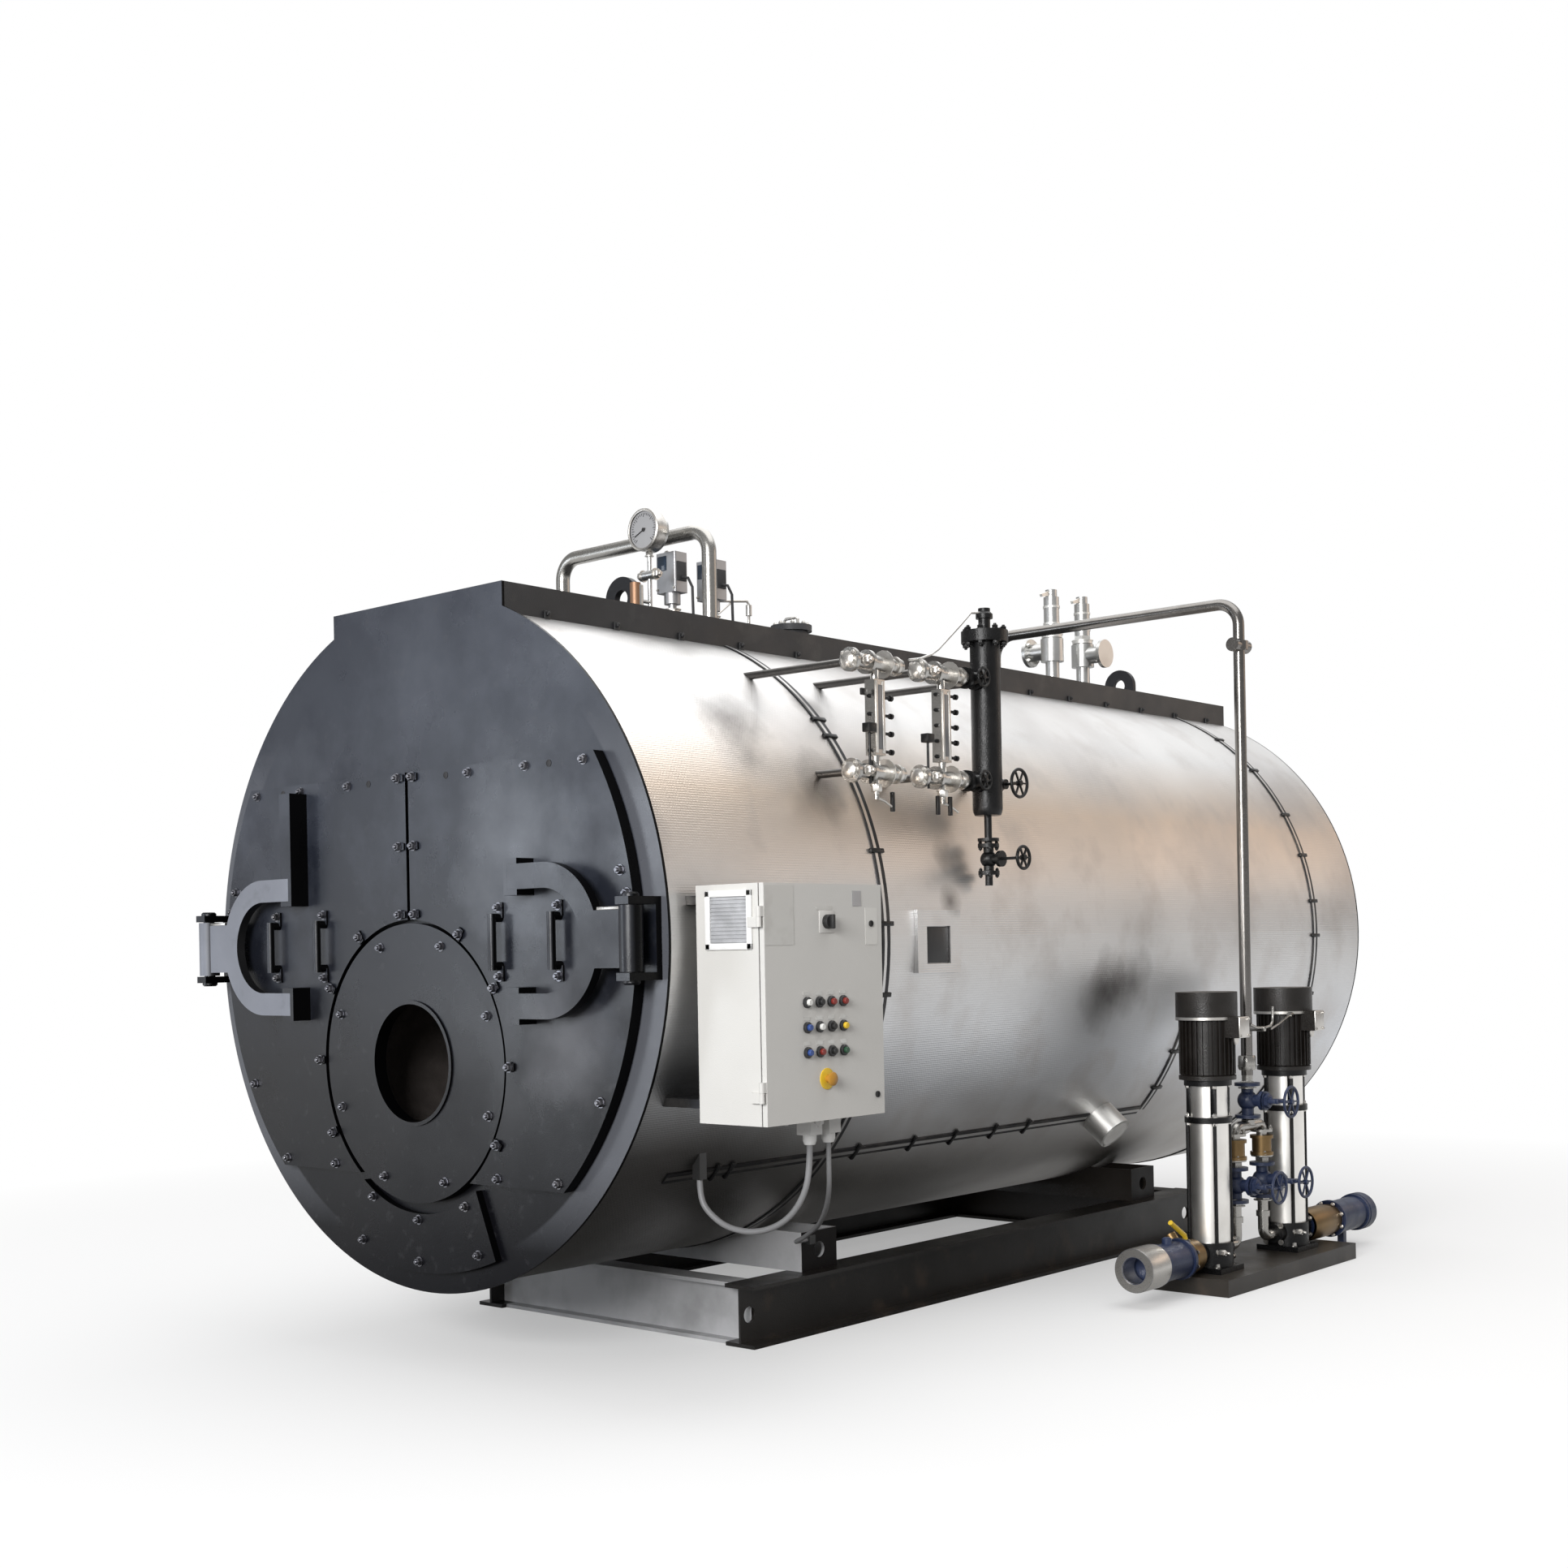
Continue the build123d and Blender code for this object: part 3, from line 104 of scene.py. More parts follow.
class Form:
    """Gathers the faces of one piece. Sizes are in millimetres, like the places."""

    def __init__(self):
        self.mesh = bmesh.new()

    def slab(self, low, high, chamfer=0.0, steps=2, turn=None):
        """A box between two corners, with rounded edges."""
        a, b = at(*low), at(*high)
        new = bmesh.ops.create_cube(self.mesh, size=1.0)["verts"]
        size = [abs(b[i] - a[i]) for i in range(3)]
        bmesh.ops.scale(self.mesh, vec=size, verts=new)
        if turn is not None:
            bmesh.ops.rotate(self.mesh, verts=new, cent=(0, 0, 0), matrix=turn)
        bmesh.ops.translate(self.mesh, vec=(a + b) / 2, verts=new)
        if chamfer:
            edges = list({edge for vert in new for edge in vert.link_edges})
            bmesh.ops.bevel(self.mesh, geom=edges, offset=chamfer / 1000, segments=steps, affect="EDGES",
                            profile=0.5)
        return self

    def turned(self, profile, centre, direction, steps=24, phase=0.0):
        """A turned piece: pairs of radius and height along the direction, from the centre."""
        place = Matrix.Translation(at(*centre))
        spin = Vector((0, 0, 1)).rotation_difference(Vector(direction)).to_matrix().to_4x4()
        rings = []
        for radius, height in profile:
            count = steps if radius > 0.001 else 1
            ring = []
            for index in range(count):
                angle = phase + 2 * pi * index / steps
                point = Vector((radius * cos(angle), radius * sin(angle), height)) / 1000
                ring.append(self.mesh.verts.new(place @ spin @ point))
            rings.append(ring)
        for lower, upper in zip(rings, rings[1:]):
            for index in range(steps):
                after = (index + 1) % steps
                if len(lower) == 1 and len(upper) == 1:
                    continue
                if len(lower) == 1:
                    self.mesh.faces.new((lower[0], upper[index], upper[after]))
                elif len(upper) == 1:
                    self.mesh.faces.new((lower[index], lower[after], upper[0]))
                else:
                    self.mesh.faces.new((lower[index], lower[after], upper[after], upper[index]))
        return self

    def nut(self, centre, direction, across, height, phase=0.0):
        """A hexagon nut with a washer under it and a rounded top."""
        r = across / sqrt(3)
        self.turned(sleeve(0, 1.25 * r, 0.14 * height), centre, direction, 16)
        profile = [(0, 0.1 * height), (r, 0.1 * height), (r, 0.86 * height), (0.86 * r, height), (0, height)]
        self.turned(profile, centre, direction, 6, phase)
        stud = 0.5 * r
        profile = [(stud, height), (stud, 1.35 * height), (0.8 * stud, 1.45 * height), (0, 1.45 * height)]
        return self.turned(profile, centre, direction, 10)

    def tube(self, points, radius, steps=10, closed=False):
        """A round bar that follows the points."""
        line = [at(*point) for point in points]
        count = len(line)
        rings = []
        side = None
        for index, point in enumerate(line):
            before = line[index - 1] if index or closed else point
            after = line[(index + 1) % count] if index < count - 1 or closed else point
            ahead = (after - before).normalized()
            if side is None:
                side = ahead.orthogonal().normalized()
            side = (side - ahead * side.dot(ahead)).normalized()
            up = ahead.cross(side)
            ring = []
            for step in range(steps):
                angle = 2 * pi * step / steps
                offset = side * cos(angle) + up * sin(angle)
                ring.append(self.mesh.verts.new(point + offset * (radius / 1000)))
            rings.append(ring)
        pairs = list(zip(rings, rings[1:]))
        if closed:
            pairs.append((rings[-1], rings[0]))
        for lower, upper in pairs:
            for step in range(steps):
                after = (step + 1) % steps
                self.mesh.faces.new((lower[step], lower[after], upper[after], upper[step]))
        if not closed:
            self.mesh.faces.new(list(reversed(rings[0])))
            self.mesh.faces.new(rings[-1])
        return self

    def hoop(self, y, radius, thickness, width, start, end, steps):
        """A flat strip round the boiler's axis, between two angles in degrees."""
        rings = []
        for index in range(steps + 1):
            angle = radians(start + (end - start) * index / steps)
            ring = []
            low, high = radius - 1, radius + thickness
            for reach, side in ((low, -1), (high, -1), (high, 1), (low, 1)):
                place = at(reach * cos(angle), y + side * width / 2, reach * sin(angle))
                ring.append(self.mesh.verts.new(place))
            rings.append(ring)
        for lower, upper in zip(rings, rings[1:]):
            for index in range(4):
                after = (index + 1) % 4
                self.mesh.faces.new((lower[index], lower[after], upper[after], upper[index]))
        self.mesh.faces.new(list(reversed(rings[0])))
        self.mesh.faces.new(rings[-1])
        return self

    def plate(self, outline, thickness, normal):
        """A flat plate: its outline's points in order, pushed out along the normal."""
        lower = [self.mesh.verts.new(at(*point)) for point in outline]
        push = Vector(normal) * (thickness / 1000)
        upper = [self.mesh.verts.new(vert.co + push) for vert in lower]
        count = len(outline)
        self.mesh.faces.new(list(reversed(lower)))
        self.mesh.faces.new(upper)
        for index in range(count):
            after = (index + 1) % count
            self.mesh.faces.new((lower[index], lower[after], upper[after], upper[index]))
        return self

    def ready(self, name, look, slot, body="boiler"):
        """Makes the object, gives it its finish and lets it ride on its body."""
        bmesh.ops.recalc_face_normals(self.mesh, faces=self.mesh.faces)
        data = bpy.data.meshes.new(name)
        self.mesh.to_mesh(data)
        self.mesh.free()
        data.shade_smooth()
        data.set_sharp_from_angle(angle=radians(SHARP_ANGLE))
        piece = bpy.data.objects.new(name, data)
        bpy.context.scene.collection.objects.link(piece)
        data.materials.append(finish[look])
        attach(piece, body)
        return piece


# Finishes: each keeps its material here under its name

finish = {}

# Painted shade patches on the cladding: place and radius
SHADE_PATCHES = (
    (1000.0, 640.0, 800.0, 260.0),
    (1130.0, 1000.0, 560.0, 200.0),
    (1275.0, 1600.0, 330.0, 120.0),
    (1276.0, 1610.0, 130.0, 90.0),
    (1262.0, 2780.0, -260.0, 240.0),
    (1262.0, 2990.0, -230.0, 220.0),
    (900.0, 1185.0, 900.0, 120.0),
)


class Finish:
    """A node material that starts from a principled shader with colour, wear and relief from noise."""

    def __init__(self, name, color, metallic, roughness):
        self.material = bpy.data.materials.new(name)
        self.material.use_nodes = True
        finish[name] = self.material
        self.tree = self.material.node_tree
        self.shader = self.tree.nodes["Principled BSDF"]
        self.shader.inputs["Base Color"].default_value = (*color, 1)
        self.shader.inputs["Metallic"].default_value = metallic
        self.shader.inputs["Roughness"].default_value = roughness
        self.color = color
        self.roughness = roughness
        self.place = self.add("ShaderNodeTexCoord").outputs["Object"]
        self.relief = None

    def add(self, kind, **values):
        node = self.tree.nodes.new(kind)
        for key, value in values.items():
            if hasattr(node, key):
                setattr(node, key, value)
            else:
                node.inputs[key.replace("_", " ")].default_value = value
        return node

    def link(self, source, target):
        self.tree.links.new(source, target)

    def noise(self, scale, detail=4.0, stretch=(1, 1, 1), rough=0.55):
        spread = self.add("ShaderNodeMapping")
        spread.inputs["Scale"].default_value = stretch
        self.link(self.place, spread.inputs["Vector"])
        node = self.add("ShaderNodeTexNoise")
        node.inputs["Scale"].default_value = scale
        node.inputs["Detail"].default_value = detail
        node.inputs["Roughness"].default_value = rough
        self.link(spread.outputs["Vector"], node.inputs["Vector"])
        return node.outputs["Fac"]

    def maths(self, operation, *values):
        """The result of a maths node, whose values are sockets or numbers."""
        node = self.add("ShaderNodeMath", operation=operation)
        for value, socket in zip(values, node.inputs):
            if isinstance(value, (int, float)):
                socket.default_value = value
            else:
                self.link(value, socket)
        return node.outputs[0]

    def along(self, axis):
        """The place along one axis, in metres."""
        split = self.add("ShaderNodeSeparateXYZ")
        self.link(self.place, split.inputs[0])
        return split.outputs[axis]

    def height(self):
        """Height above the boiler's axis, in metres."""
        return self.maths("SUBTRACT", self.along("Z"), AXIS_HEIGHT / 1000)

    def reach(self, scale, shift):
        """The place's distance from the origin, once scaled and shifted."""
        moved = self.add("ShaderNodeVectorMath", operation="MULTIPLY_ADD")
        self.link(self.place, moved.inputs[0])
        moved.inputs[1].default_value = scale
        moved.inputs[2].default_value = shift
        length = self.add("ShaderNodeVectorMath", operation="LENGTH")
        self.link(moved.outputs["Vector"], length.inputs[0])
        return length.outputs["Value"]

    def facing(self, axis):
        """How squarely a face looks along an axis, from zero to one."""
        split = self.add("ShaderNodeSeparateXYZ")
        self.link(self.add("ShaderNodeTexCoord").outputs["Normal"], split.inputs[0])
        return self.maths("ABSOLUTE", split.outputs[axis])

    def bell(self, source, middle, width):
        """One at a middle value, falling smoothly to zero on both sides."""
        distance = self.maths("ABSOLUTE", self.maths("SUBTRACT", source, middle))
        return self.stretch_range(distance, 0.0, width, 1.0, 0.0)

    def spot(self, place, radius):
        """One at a place, falling to zero at a ragged radius."""
        gap = self.add("ShaderNodeVectorMath", operation="DISTANCE")
        self.link(self.place, gap.inputs[0])
        gap.inputs[1].default_value = place
        ragged = self.maths("MULTIPLY_ADD", self.noise(6.0, 5), radius, gap.outputs["Value"])
        return self.stretch_range(ragged, 0.5 * radius, 1.5 * radius, 1.0, 0.0)

    def unrolled(self):
        """The length and the way round the boiler, for a pattern that lies flat on the cladding."""
        join = self.add("ShaderNodeCombineXYZ")
        self.link(self.along("Y"), join.inputs["X"])
        self.link(self.maths("ARCTAN2", self.height(), self.along("X")), join.inputs["Y"])
        return join.outputs[0]

    def stretch_range(self, source, low, high, new_low, new_high):
        node = self.add("ShaderNodeMapRange", clamp=True)
        for key, value in (("From Min", low), ("From Max", high), ("To Min", new_low), ("To Max", new_high)):
            node.inputs[key].default_value = value
        self.link(source, node.inputs["Value"])
        return node.outputs["Result"]

    def colours(self, factor, other, amount=1.0, low=0.4, high=0.6):
        """Mixes another colour in where the factor is high."""
        mix = self.add("ShaderNodeMix", data_type="RGBA")
        self.link(self.stretch_range(factor, low, high, 0.0, amount), mix.inputs["Factor"])
        socket = self.shader.inputs["Base Color"]
        if socket.is_linked:
            self.link(socket.links[0].from_socket, mix.inputs[6])
        else:
            mix.inputs[6].default_value = socket.default_value
        mix.inputs[7].default_value = (*other, 1)
        self.link(mix.outputs[2], socket)
        return self

    def rough_by(self, factor, low, high, start=0.3, end=0.7):
        self.link(self.stretch_range(factor, start, end, low, high), self.shader.inputs["Roughness"])
        return self

    def bump(self, height, distance, strength=1.0):
        node = self.add("ShaderNodeBump")
        node.inputs["Strength"].default_value = strength
        node.inputs["Distance"].default_value = distance
        self.link(height, node.inputs["Height"])
        if self.relief is not None:
            self.link(self.relief, node.inputs["Normal"])
        self.relief = node.outputs["Normal"]
        self.link(self.relief, self.shader.inputs["Normal"])
        return self


def paint(name, color, roughness=0.4, mottle=0.25, grain=0.0004, dirt=None, edge=None):
    """Sprayed paint: slight mottling, dust or rust where noise is high, a fine orange peel, and, when an edge
    colour is given, painted shade on the faces that do not look to the front or back.
    """
    look = Finish(name, color, 0.0, roughness)
    lighter = [min(1.0, channel * (1 + mottle) + 0.01 * mottle) for channel in color]
    look.colours(look.noise(2.2, 6), lighter, 1.0, 0.4, 0.7)
    if dirt:
        look.colours(look.noise(7.0, 8), dirt, 0.5, 0.56, 0.72)
    look.rough_by(look.noise(5.0, 5), roughness - 0.07, roughness + 0.1)
    look.bump(look.noise(260.0, 2), grain)
    if edge:
        # Painted shade: faces turned away from the front and back take the edge colour.
        look.colours(look.facing("Y"), edge, 1.0, 0.85, 0.4)


def metal(name, color, roughness=0.3, streak=(1, 1, 1), grain=0.0002, stain=(0.3, 0.28, 0.25)):
    """Bare metal: fine drawn lines along one direction, with faint stains."""
    look = Finish(name, color, 1.0, roughness)
    look.colours(look.noise(6.0, 6), stain, 0.35, 0.5, 0.75)
    fine = look.noise(420.0, 3, streak)
    look.rough_by(fine, roughness - 0.06, roughness + 0.1)
    look.bump(fine, grain)


def front_paint(name, ring=False):
    """Blue-black gloss paint, painted lighter towards the top as painted light, with pale clouds made
    stronger above and two pale spots on the right door as painted sheen, less glossy below, and with painted
    shade at the edges.
    On the ring that stays outside the doors, a paler band at middle heights is partly its own paler paint and
    partly painted reflection."""
    look = Finish(name, (0.004, 0.004, 0.0055), 0.0, 0.28)
    # Painted light: the paint turns from near black at the bottom to lit blue-grey at the top.
    look.colours(look.height(), (0.020, 0.024, 0.036), 1.0, -0.5, 0.9)
    # Pale clouds in the paint, made stronger towards the top as painted light.
    clouds = look.noise(1.7, 7, rough=0.62)
    clouds_and_painted_light = look.maths("MULTIPLY", clouds, look.stretch_range(look.height(), -0.7, 0.5, 0.60, 1.0))
    look.colours(clouds_and_painted_light, (0.062, 0.069, 0.088), 0.85, 0.42, 0.72)
    # Painted sheen: two pale spots on the right door, one high and one low.
    look.colours(look.spot(at(600.0, -50.0, 330.0), 0.42), (0.15, 0.162, 0.185), 0.6, 0.1, 1.0)
    look.colours(look.spot(at(850.0, -50.0, -350.0), 0.3), (0.10, 0.10, 0.11), 0.6, 0.1, 1.0)
    look.colours(look.noise(19.0, 8), (0.06, 0.06, 0.065), 0.3, 0.6, 0.75)
    if ring:
        # Partly a paler ring of its own and partly painted reflection: the ring outside the doors is paler at
        # middle heights.
        outside = look.stretch_range(look.reach((1, 0, 1), (0, 0, -AXIS_HEIGHT / 1000)), 1.19, 1.20, 0.0, 1.0)
        middle = look.stretch_range(look.bell(look.height(), -0.15, 0.95), 0.0, 0.35, 0.0, 1.0)
        look.colours(look.maths("MULTIPLY", outside, middle), (0.10, 0.105, 0.12), 0.85, 0.0, 1.0)
    # Painted shade: faces turned away from the front go near black.
    look.colours(look.facing("Y"), (0.0012, 0.0012, 0.0014), 1.0, 0.85, 0.4)
    look.rough_by(look.noise(3.2, 6), 0.2, 0.42)
    gloss = look.maths("MULTIPLY", look.stretch_range(look.height(), -1.1, -0.2, 0.2, 0.5),
                       look.stretch_range(look.facing("Y"), 0.4, 0.85, 0.2, 1.0))
    look.link(gloss, look.shader.inputs["Specular IOR Level"])
    look.bump(look.noise(240.0, 2), 0.0003)
    look.bump(look.noise(1.8, 2), 0.004, 0.5)


def casting(name, color, roughness=0.5, wear=0.01, shine=0.5):
    """Painted rough casting."""
    look = Finish(name, color, 0.0, roughness)
    look.shader.inputs["Specular IOR Level"].default_value = shine
    lighter = [min(1.0, channel * 1.5 + wear) for channel in color]
    look.colours(look.noise(9.0, 6), lighter, 0.8, 0.45, 0.7)
    look.rough_by(look.noise(14.0, 5), roughness - 0.1, roughness + 0.12)
    look.bump(look.noise(150.0, 4), 0.0012)


def beam_paint():
    """Dark brown paint, painted lit grey on the webs near the front as painted light, going to its own dark
    brown further back, with near-black painted shade on the ends.
    """
    # Painted light: the grey base is the lit look of the dark paint near the front.
    look = Finish("beam_paint", (0.42, 0.42, 0.43), 0.0, 0.4)
    look.colours(look.noise(4.0, 6), (0.2, 0.2, 0.2), 0.6, 0.45, 0.7)
    # The paint's own dark brown, reached further back.
    look.colours(look.along("Y"), (0.016, 0.012, 0.009), 1.0, 0.9, 2.2)
    # Painted shade: ends facing sideways go near black.
    look.colours(look.facing("X"), (0.004, 0.003, 0.003), 1.0, 0.4, 0.8)
    shine = look.stretch_range(look.facing("X"), 0.4, 0.8, 0.5, 0.15)
    look.link(shine, look.shader.inputs["Specular IOR Level"])
    look.rough_by(look.noise(5.0, 5), 0.33, 0.5)
    look.bump(look.noise(260.0, 2), 0.0005)


def gland_plastic():
    """White plastic at the cabinet, turning near black at the sockets below 0.73 m under the boiler's axis.
    """
    look = Finish("white_plastic", (0.86, 0.86, 0.85), 0.0, 0.4)
    look.colours(look.noise(9.0, 5), (0.74, 0.74, 0.73), 0.6)
    # Near black below 0.73 m under the axis.
    look.colours(look.height(), (0.02, 0.02, 0.02), 1.0, -0.73, -0.76)
    look.rough_by(look.noise(6.0, 4), 0.33, 0.48)
    look.bump(look.noise(260.0, 2), 0.0002)


def cladding_sheet():
    """Embossed aluminium sheet with soft dents; its colour carries painted reflection, warm in a band above
    and cooler and darker below, and painted shade at the lower front and in dark patches.
    """
    look = Finish("cladding_sheet", (0.66, 0.655, 0.65), 1.0, 0.36)
    height = look.height()
    # Painted reflection: cooler below the middle, darker still near the bottom.
    look.colours(height, (0.62, 0.635, 0.66), 1.0, -0.1, -0.5)
    look.colours(height, (0.58, 0.565, 0.54), 1.0, -0.6, -1.0)
    # Painted reflection: a warm band high on the sides.
    look.colours(look.bell(height, 0.52, 0.34), (0.74, 0.60, 0.47), 0.75, 0.0, 1.0)
    look.colours(look.noise(1.1, 4), (0.50, 0.48, 0.47), 0.6, 0.46, 0.68)
    look.colours(look.noise(3.6, 7), (0.46, 0.43, 0.41), 0.5, 0.5, 0.72)
    # Painted shade: near black at the lower front.
    low_front_shade = look.maths("MULTIPLY", look.stretch_range(look.along("Y"), 0.6, -0.5, 0.0, 1.0),
                       look.stretch_range(height, -0.35, -0.85, 0.0, 1.0))
    look.colours(low_front_shade, (0.09, 0.085, 0.08), 0.9, 0.0, 0.8)
    # Painted shade: dark patches at the listed places.
    for x, y, z, radius in SHADE_PATCHES:
        look.colours(look.spot(at(x, y, z), radius / 1000), (0.10, 0.09, 0.085), 0.75, 0.15, 1.0)
    look.rough_by(look.noise(1.6, 5), 0.3, 0.44)
    grain = look.add("ShaderNodeTexBrick")
    grain.inputs["Scale"].default_value = 34.0
    grain.inputs["Mortar Size"].default_value = 0.06
    grain.inputs["Mortar Smooth"].default_value = 1.0
    look.link(look.unrolled(), grain.inputs["Vector"])
    look.bump(look.noise(0.9, 2), 0.03, 0.3)
    look.bump(grain.outputs["Fac"], 0.0012, 0.35)
    look.bump(look.noise(90.0, 2), 0.0008, 0.3)


front_paint("blue_black_paint")
front_paint("ring_paint", ring=True)
# Grey paint with near-black painted shade on its sides.
paint("grey_paint", (0.17, 0.18, 0.21), 0.45, 0.3, 0.0004,
      dirt=(0.07, 0.07, 0.078), edge=(0.004, 0.004, 0.0045))
cladding_sheet()
beam_paint()
paint("skid_paint", (0.022, 0.018, 0.014), 0.36, 0.6, 0.0006, (0.08, 0.06, 0.045))
metal("strap_steel", (0.045, 0.045, 0.048), 0.45)
paint("walkway_paint", (0.010, 0.010, 0.011), 0.42, 0.5, 0.0005, (0.045, 0.043, 0.04))
paint("frame_paint", (0.004, 0.003, 0.0022), 0.36, 0.6, 0.0006, (0.05, 0.034, 0.022))
casting("boiler_plate", (0.06, 0.05, 0.045), 0.7)
casting("lining_board", (0.62, 0.58, 0.5), 0.9)
paint("duct_paint", (0.04, 0.04, 0.043), 0.5, 0.4)
metal("pipe_steel", (0.38, 0.37, 0.35), 0.25)
metal("gauge_steel", (0.55, 0.55, 0.54), 0.3)
metal("valve_steel", (0.44, 0.43, 0.41), 0.22, stain=(0.05, 0.045, 0.04))
metal("feed_steel", (0.20, 0.19, 0.18), 0.2, stain=(0.04, 0.035, 0.03))
metal("dark_pipe", (0.13, 0.125, 0.12), 0.3, stain=(0.03, 0.028, 0.025))
metal("stack_steel", (0.92, 0.90, 0.86), 0.34, stain=(0.6, 0.57, 0.53))
metal("switch_housing", (0.42, 0.42, 0.43), 0.42)
casting("black_casting", (0.003, 0.003, 0.0033), 0.33, 0.004, 0.3)
casting("blue_casting", (0.016, 0.026, 0.066), 0.36)
metal("bronze", (0.22, 0.145, 0.068), 0.38, stain=(0.05, 0.035, 0.02))
casting("motor_paint", (0.008, 0.006, 0.0045), 0.36, 0.008, 0.4)
paint("cabinet_paint", (0.60, 0.59, 0.565), 0.42, 0.04, 0.0005)
paint("grey_rubber", (0.20, 0.20, 0.205), 0.4, 0.3, 0.0002)
metal("dark_bolt", (0.20, 0.20, 0.22), 0.28)
paint("black_plastic", (0.018, 0.018, 0.019), 0.4, 0.3, 0.0003)
paint("pale_plastic", (0.66, 0.65, 0.62), 0.4, 0.05, 0.0002)
metal("bright_bolt", (0.60, 0.58, 0.55), 0.3)
paint("dial_white", (0.75, 0.75, 0.72), 0.4, 0.03, 0.0001)
paint("dial_black", (0.01, 0.01, 0.01), 0.5, 0.1, 0.0001)
paint("yellow_plastic", (0.72, 0.48, 0.03), 0.4, 0.1, 0.0001)
paint("red_plastic", (0.20, 0.022, 0.016), 0.35, 0.1, 0.0001)
paint("green_plastic", (0.02, 0.07, 0.035), 0.35, 0.1, 0.0001)
paint("blue_plastic", (0.03, 0.07, 0.25), 0.35, 0.1, 0.0001)
metal("blank_plate", (0.62, 0.62, 0.60), 0.35)
casting("dark_mesh", (0.02, 0.02, 0.022), 0.6)
gland_plastic()
paint("dial_face", (0.34, 0.34, 0.35), 0.2, 0.1, 0.0001)
casting("vent_mesh", (0.36, 0.365, 0.38), 0.6)
paint("gauge_glass", (0.15, 0.15, 0.155), 0.14, 0.3, 0.0001)
paint("amber_plastic", (0.42, 0.20, 0.02), 0.35, 0.1, 0.0001)
paint("dark_glass", (0.02, 0.035, 0.06), 0.12, 0.2, 0.0001)
metal("copper", (0.33, 0.19, 0.115), 0.5)
metal("pale_metal", (0.78, 0.77, 0.74), 0.4)

slots = {entry["node"]: entry["material_slot"] for entry in frame["record"]["subparts"]}
slots.update({
    "cross_beams": "beam_paint", "saddles": "beam_paint", "pump_skid": "skid_paint",
    "pump_stacks": "stack_steel", "side_nozzle": "pale_metal", "level_pipes": "dark_pipe",
    "level_gauges": "valve_steel",
    "shell_valve_handwheel": "black_casting", "feed_pipe": "feed_steel", "front_plate": "ring_paint",
})
for name, node in nodes.items():
    node.data.materials.clear()
    node.data.materials.append(finish[slots[name]])

GLAND_X = 1480.0
GLANDS_Y = (485.0, 585.0)
GLAND_END = -680.0

# Small fittings on the doors and the front

FRONT = (0, -1, 0)
BACK = (0, 1, 0)
RIGHT = (1, 0, 0)
UP = (0, 0, 1)
DOWN = (0, 0, -1)
BOLT_ACROSS = 26.0
BOLT_HEIGHT = 17.0
SEAM_LEVELS = (620.0, 364.0, 111.0)
SEAM_BOLT_X = 44.0
TOP_BOLTS_X = (358.0, 665.0, 962.0)
TOP_HOLES_X = (230.0, 787.0)
TOP_ROW = 612.0
RIM_BOLTS = ((1130.0, 230.0), (1160.0, 152.0), (1015.0, -550.0), (797.0, -838.0), (478.0, -842.0))
CLAMP_ANGLES = (0, 30, -30, 58)
HANDLES_X = (520.0, 830.0)
HANDLE_LUG = (84.0, 140.0)
BRIDGE_X = (1095.0, 1200.0)


def door_fittings(side, body):
    """Bolts, seam tabs, clamps, hole plugs and handle lugs of one door."""
    bolts = Form()
    tabs = Form()
    plugs = Form()
    for level in SEAM_LEVELS:
        bolts.nut((side * SEAM_BOLT_X, DOOR_FACE - 8, level), FRONT, BOLT_ACROSS, BOLT_HEIGHT, 0.3)
        tabs.slab((side * 13, DOOR_FACE - 8, level - 13), (side * 68, DOOR_FACE, level + 13), 2)
    for x in TOP_BOLTS_X:
        bolts.nut((side * x, DOOR_FACE, TOP_ROW), FRONT, BOLT_ACROSS, BOLT_HEIGHT, 0.2)
    for x in TOP_HOLES_X:
        profile = [(0, 0), (13, 0), (13, 1.5), (10, 1.5), (10, 0.4), (0, 0.4)]
        plugs.turned(profile, (side * x, DOOR_FACE, TOP_ROW), FRONT)
    for x, z in RIM_BOLTS:
        bolts.nut((side * x, DOOR_FACE, z), FRONT, BOLT_ACROSS, BOLT_HEIGHT, 0.7)
    for angle in CLAMP_ANGLES:
        turn = radians(angle)
        x = side * BURNER_CLAMP_CIRCLE * cos(turn)
        z = BURNER_LEVEL + BURNER_CLAMP_CIRCLE * sin(turn)
        spin = Matrix.Rotation(-side * turn, 3, "Y")
        tabs.slab((x - 24, DOOR_FACE - 8, z - 14), (x + 24, DOOR_FACE, z + 14), 2, turn=spin)
        bolts.nut((x, DOOR_FACE - 8, z), FRONT, BOLT_ACROSS, BOLT_HEIGHT, 0.5)
    for x in HANDLES_X:
        for sign in (-1, 1):
            low, high = sorted((sign * HANDLE_LUG[0], sign * HANDLE_LUG[1]))
            tabs.slab((side * x - 19, DOOR_FACE - 10, low), (side * x + 19, DOOR_FACE, high), 3)
            bolts.nut((side * x, DOOR_FACE - 10, sign * 122), FRONT, BOLT_ACROSS, BOLT_HEIGHT)
    bolts.ready(f"{body}_bolts", "dark_bolt", "blue_black_paint", body)
    tabs.ready(f"{body}_tabs", "blue_black_paint", "blue_black_paint", body)
    plugs.ready(f"{body}_plugs", "dark_mesh", "blue_black_paint", body)
    bridge = Form()
    x0, x1 = sorted((side * BRIDGE_X[0], side * BRIDGE_X[1]))
    bridge.slab((x0, -130, 96), (x1, -96, 107), 2)
    bridge.ready(f"{body}_arm_key", "bright_bolt", "gauge_steel", body)


HATCH_BOLTS = (
    (0.0, -1026.0), (0.0, -1182.0), (271.0, -958.0), (-271.0, -958.0), (340.0, -1128.0), (-340.0, -1128.0),
)
BURNER_BOLT_COUNT = 8


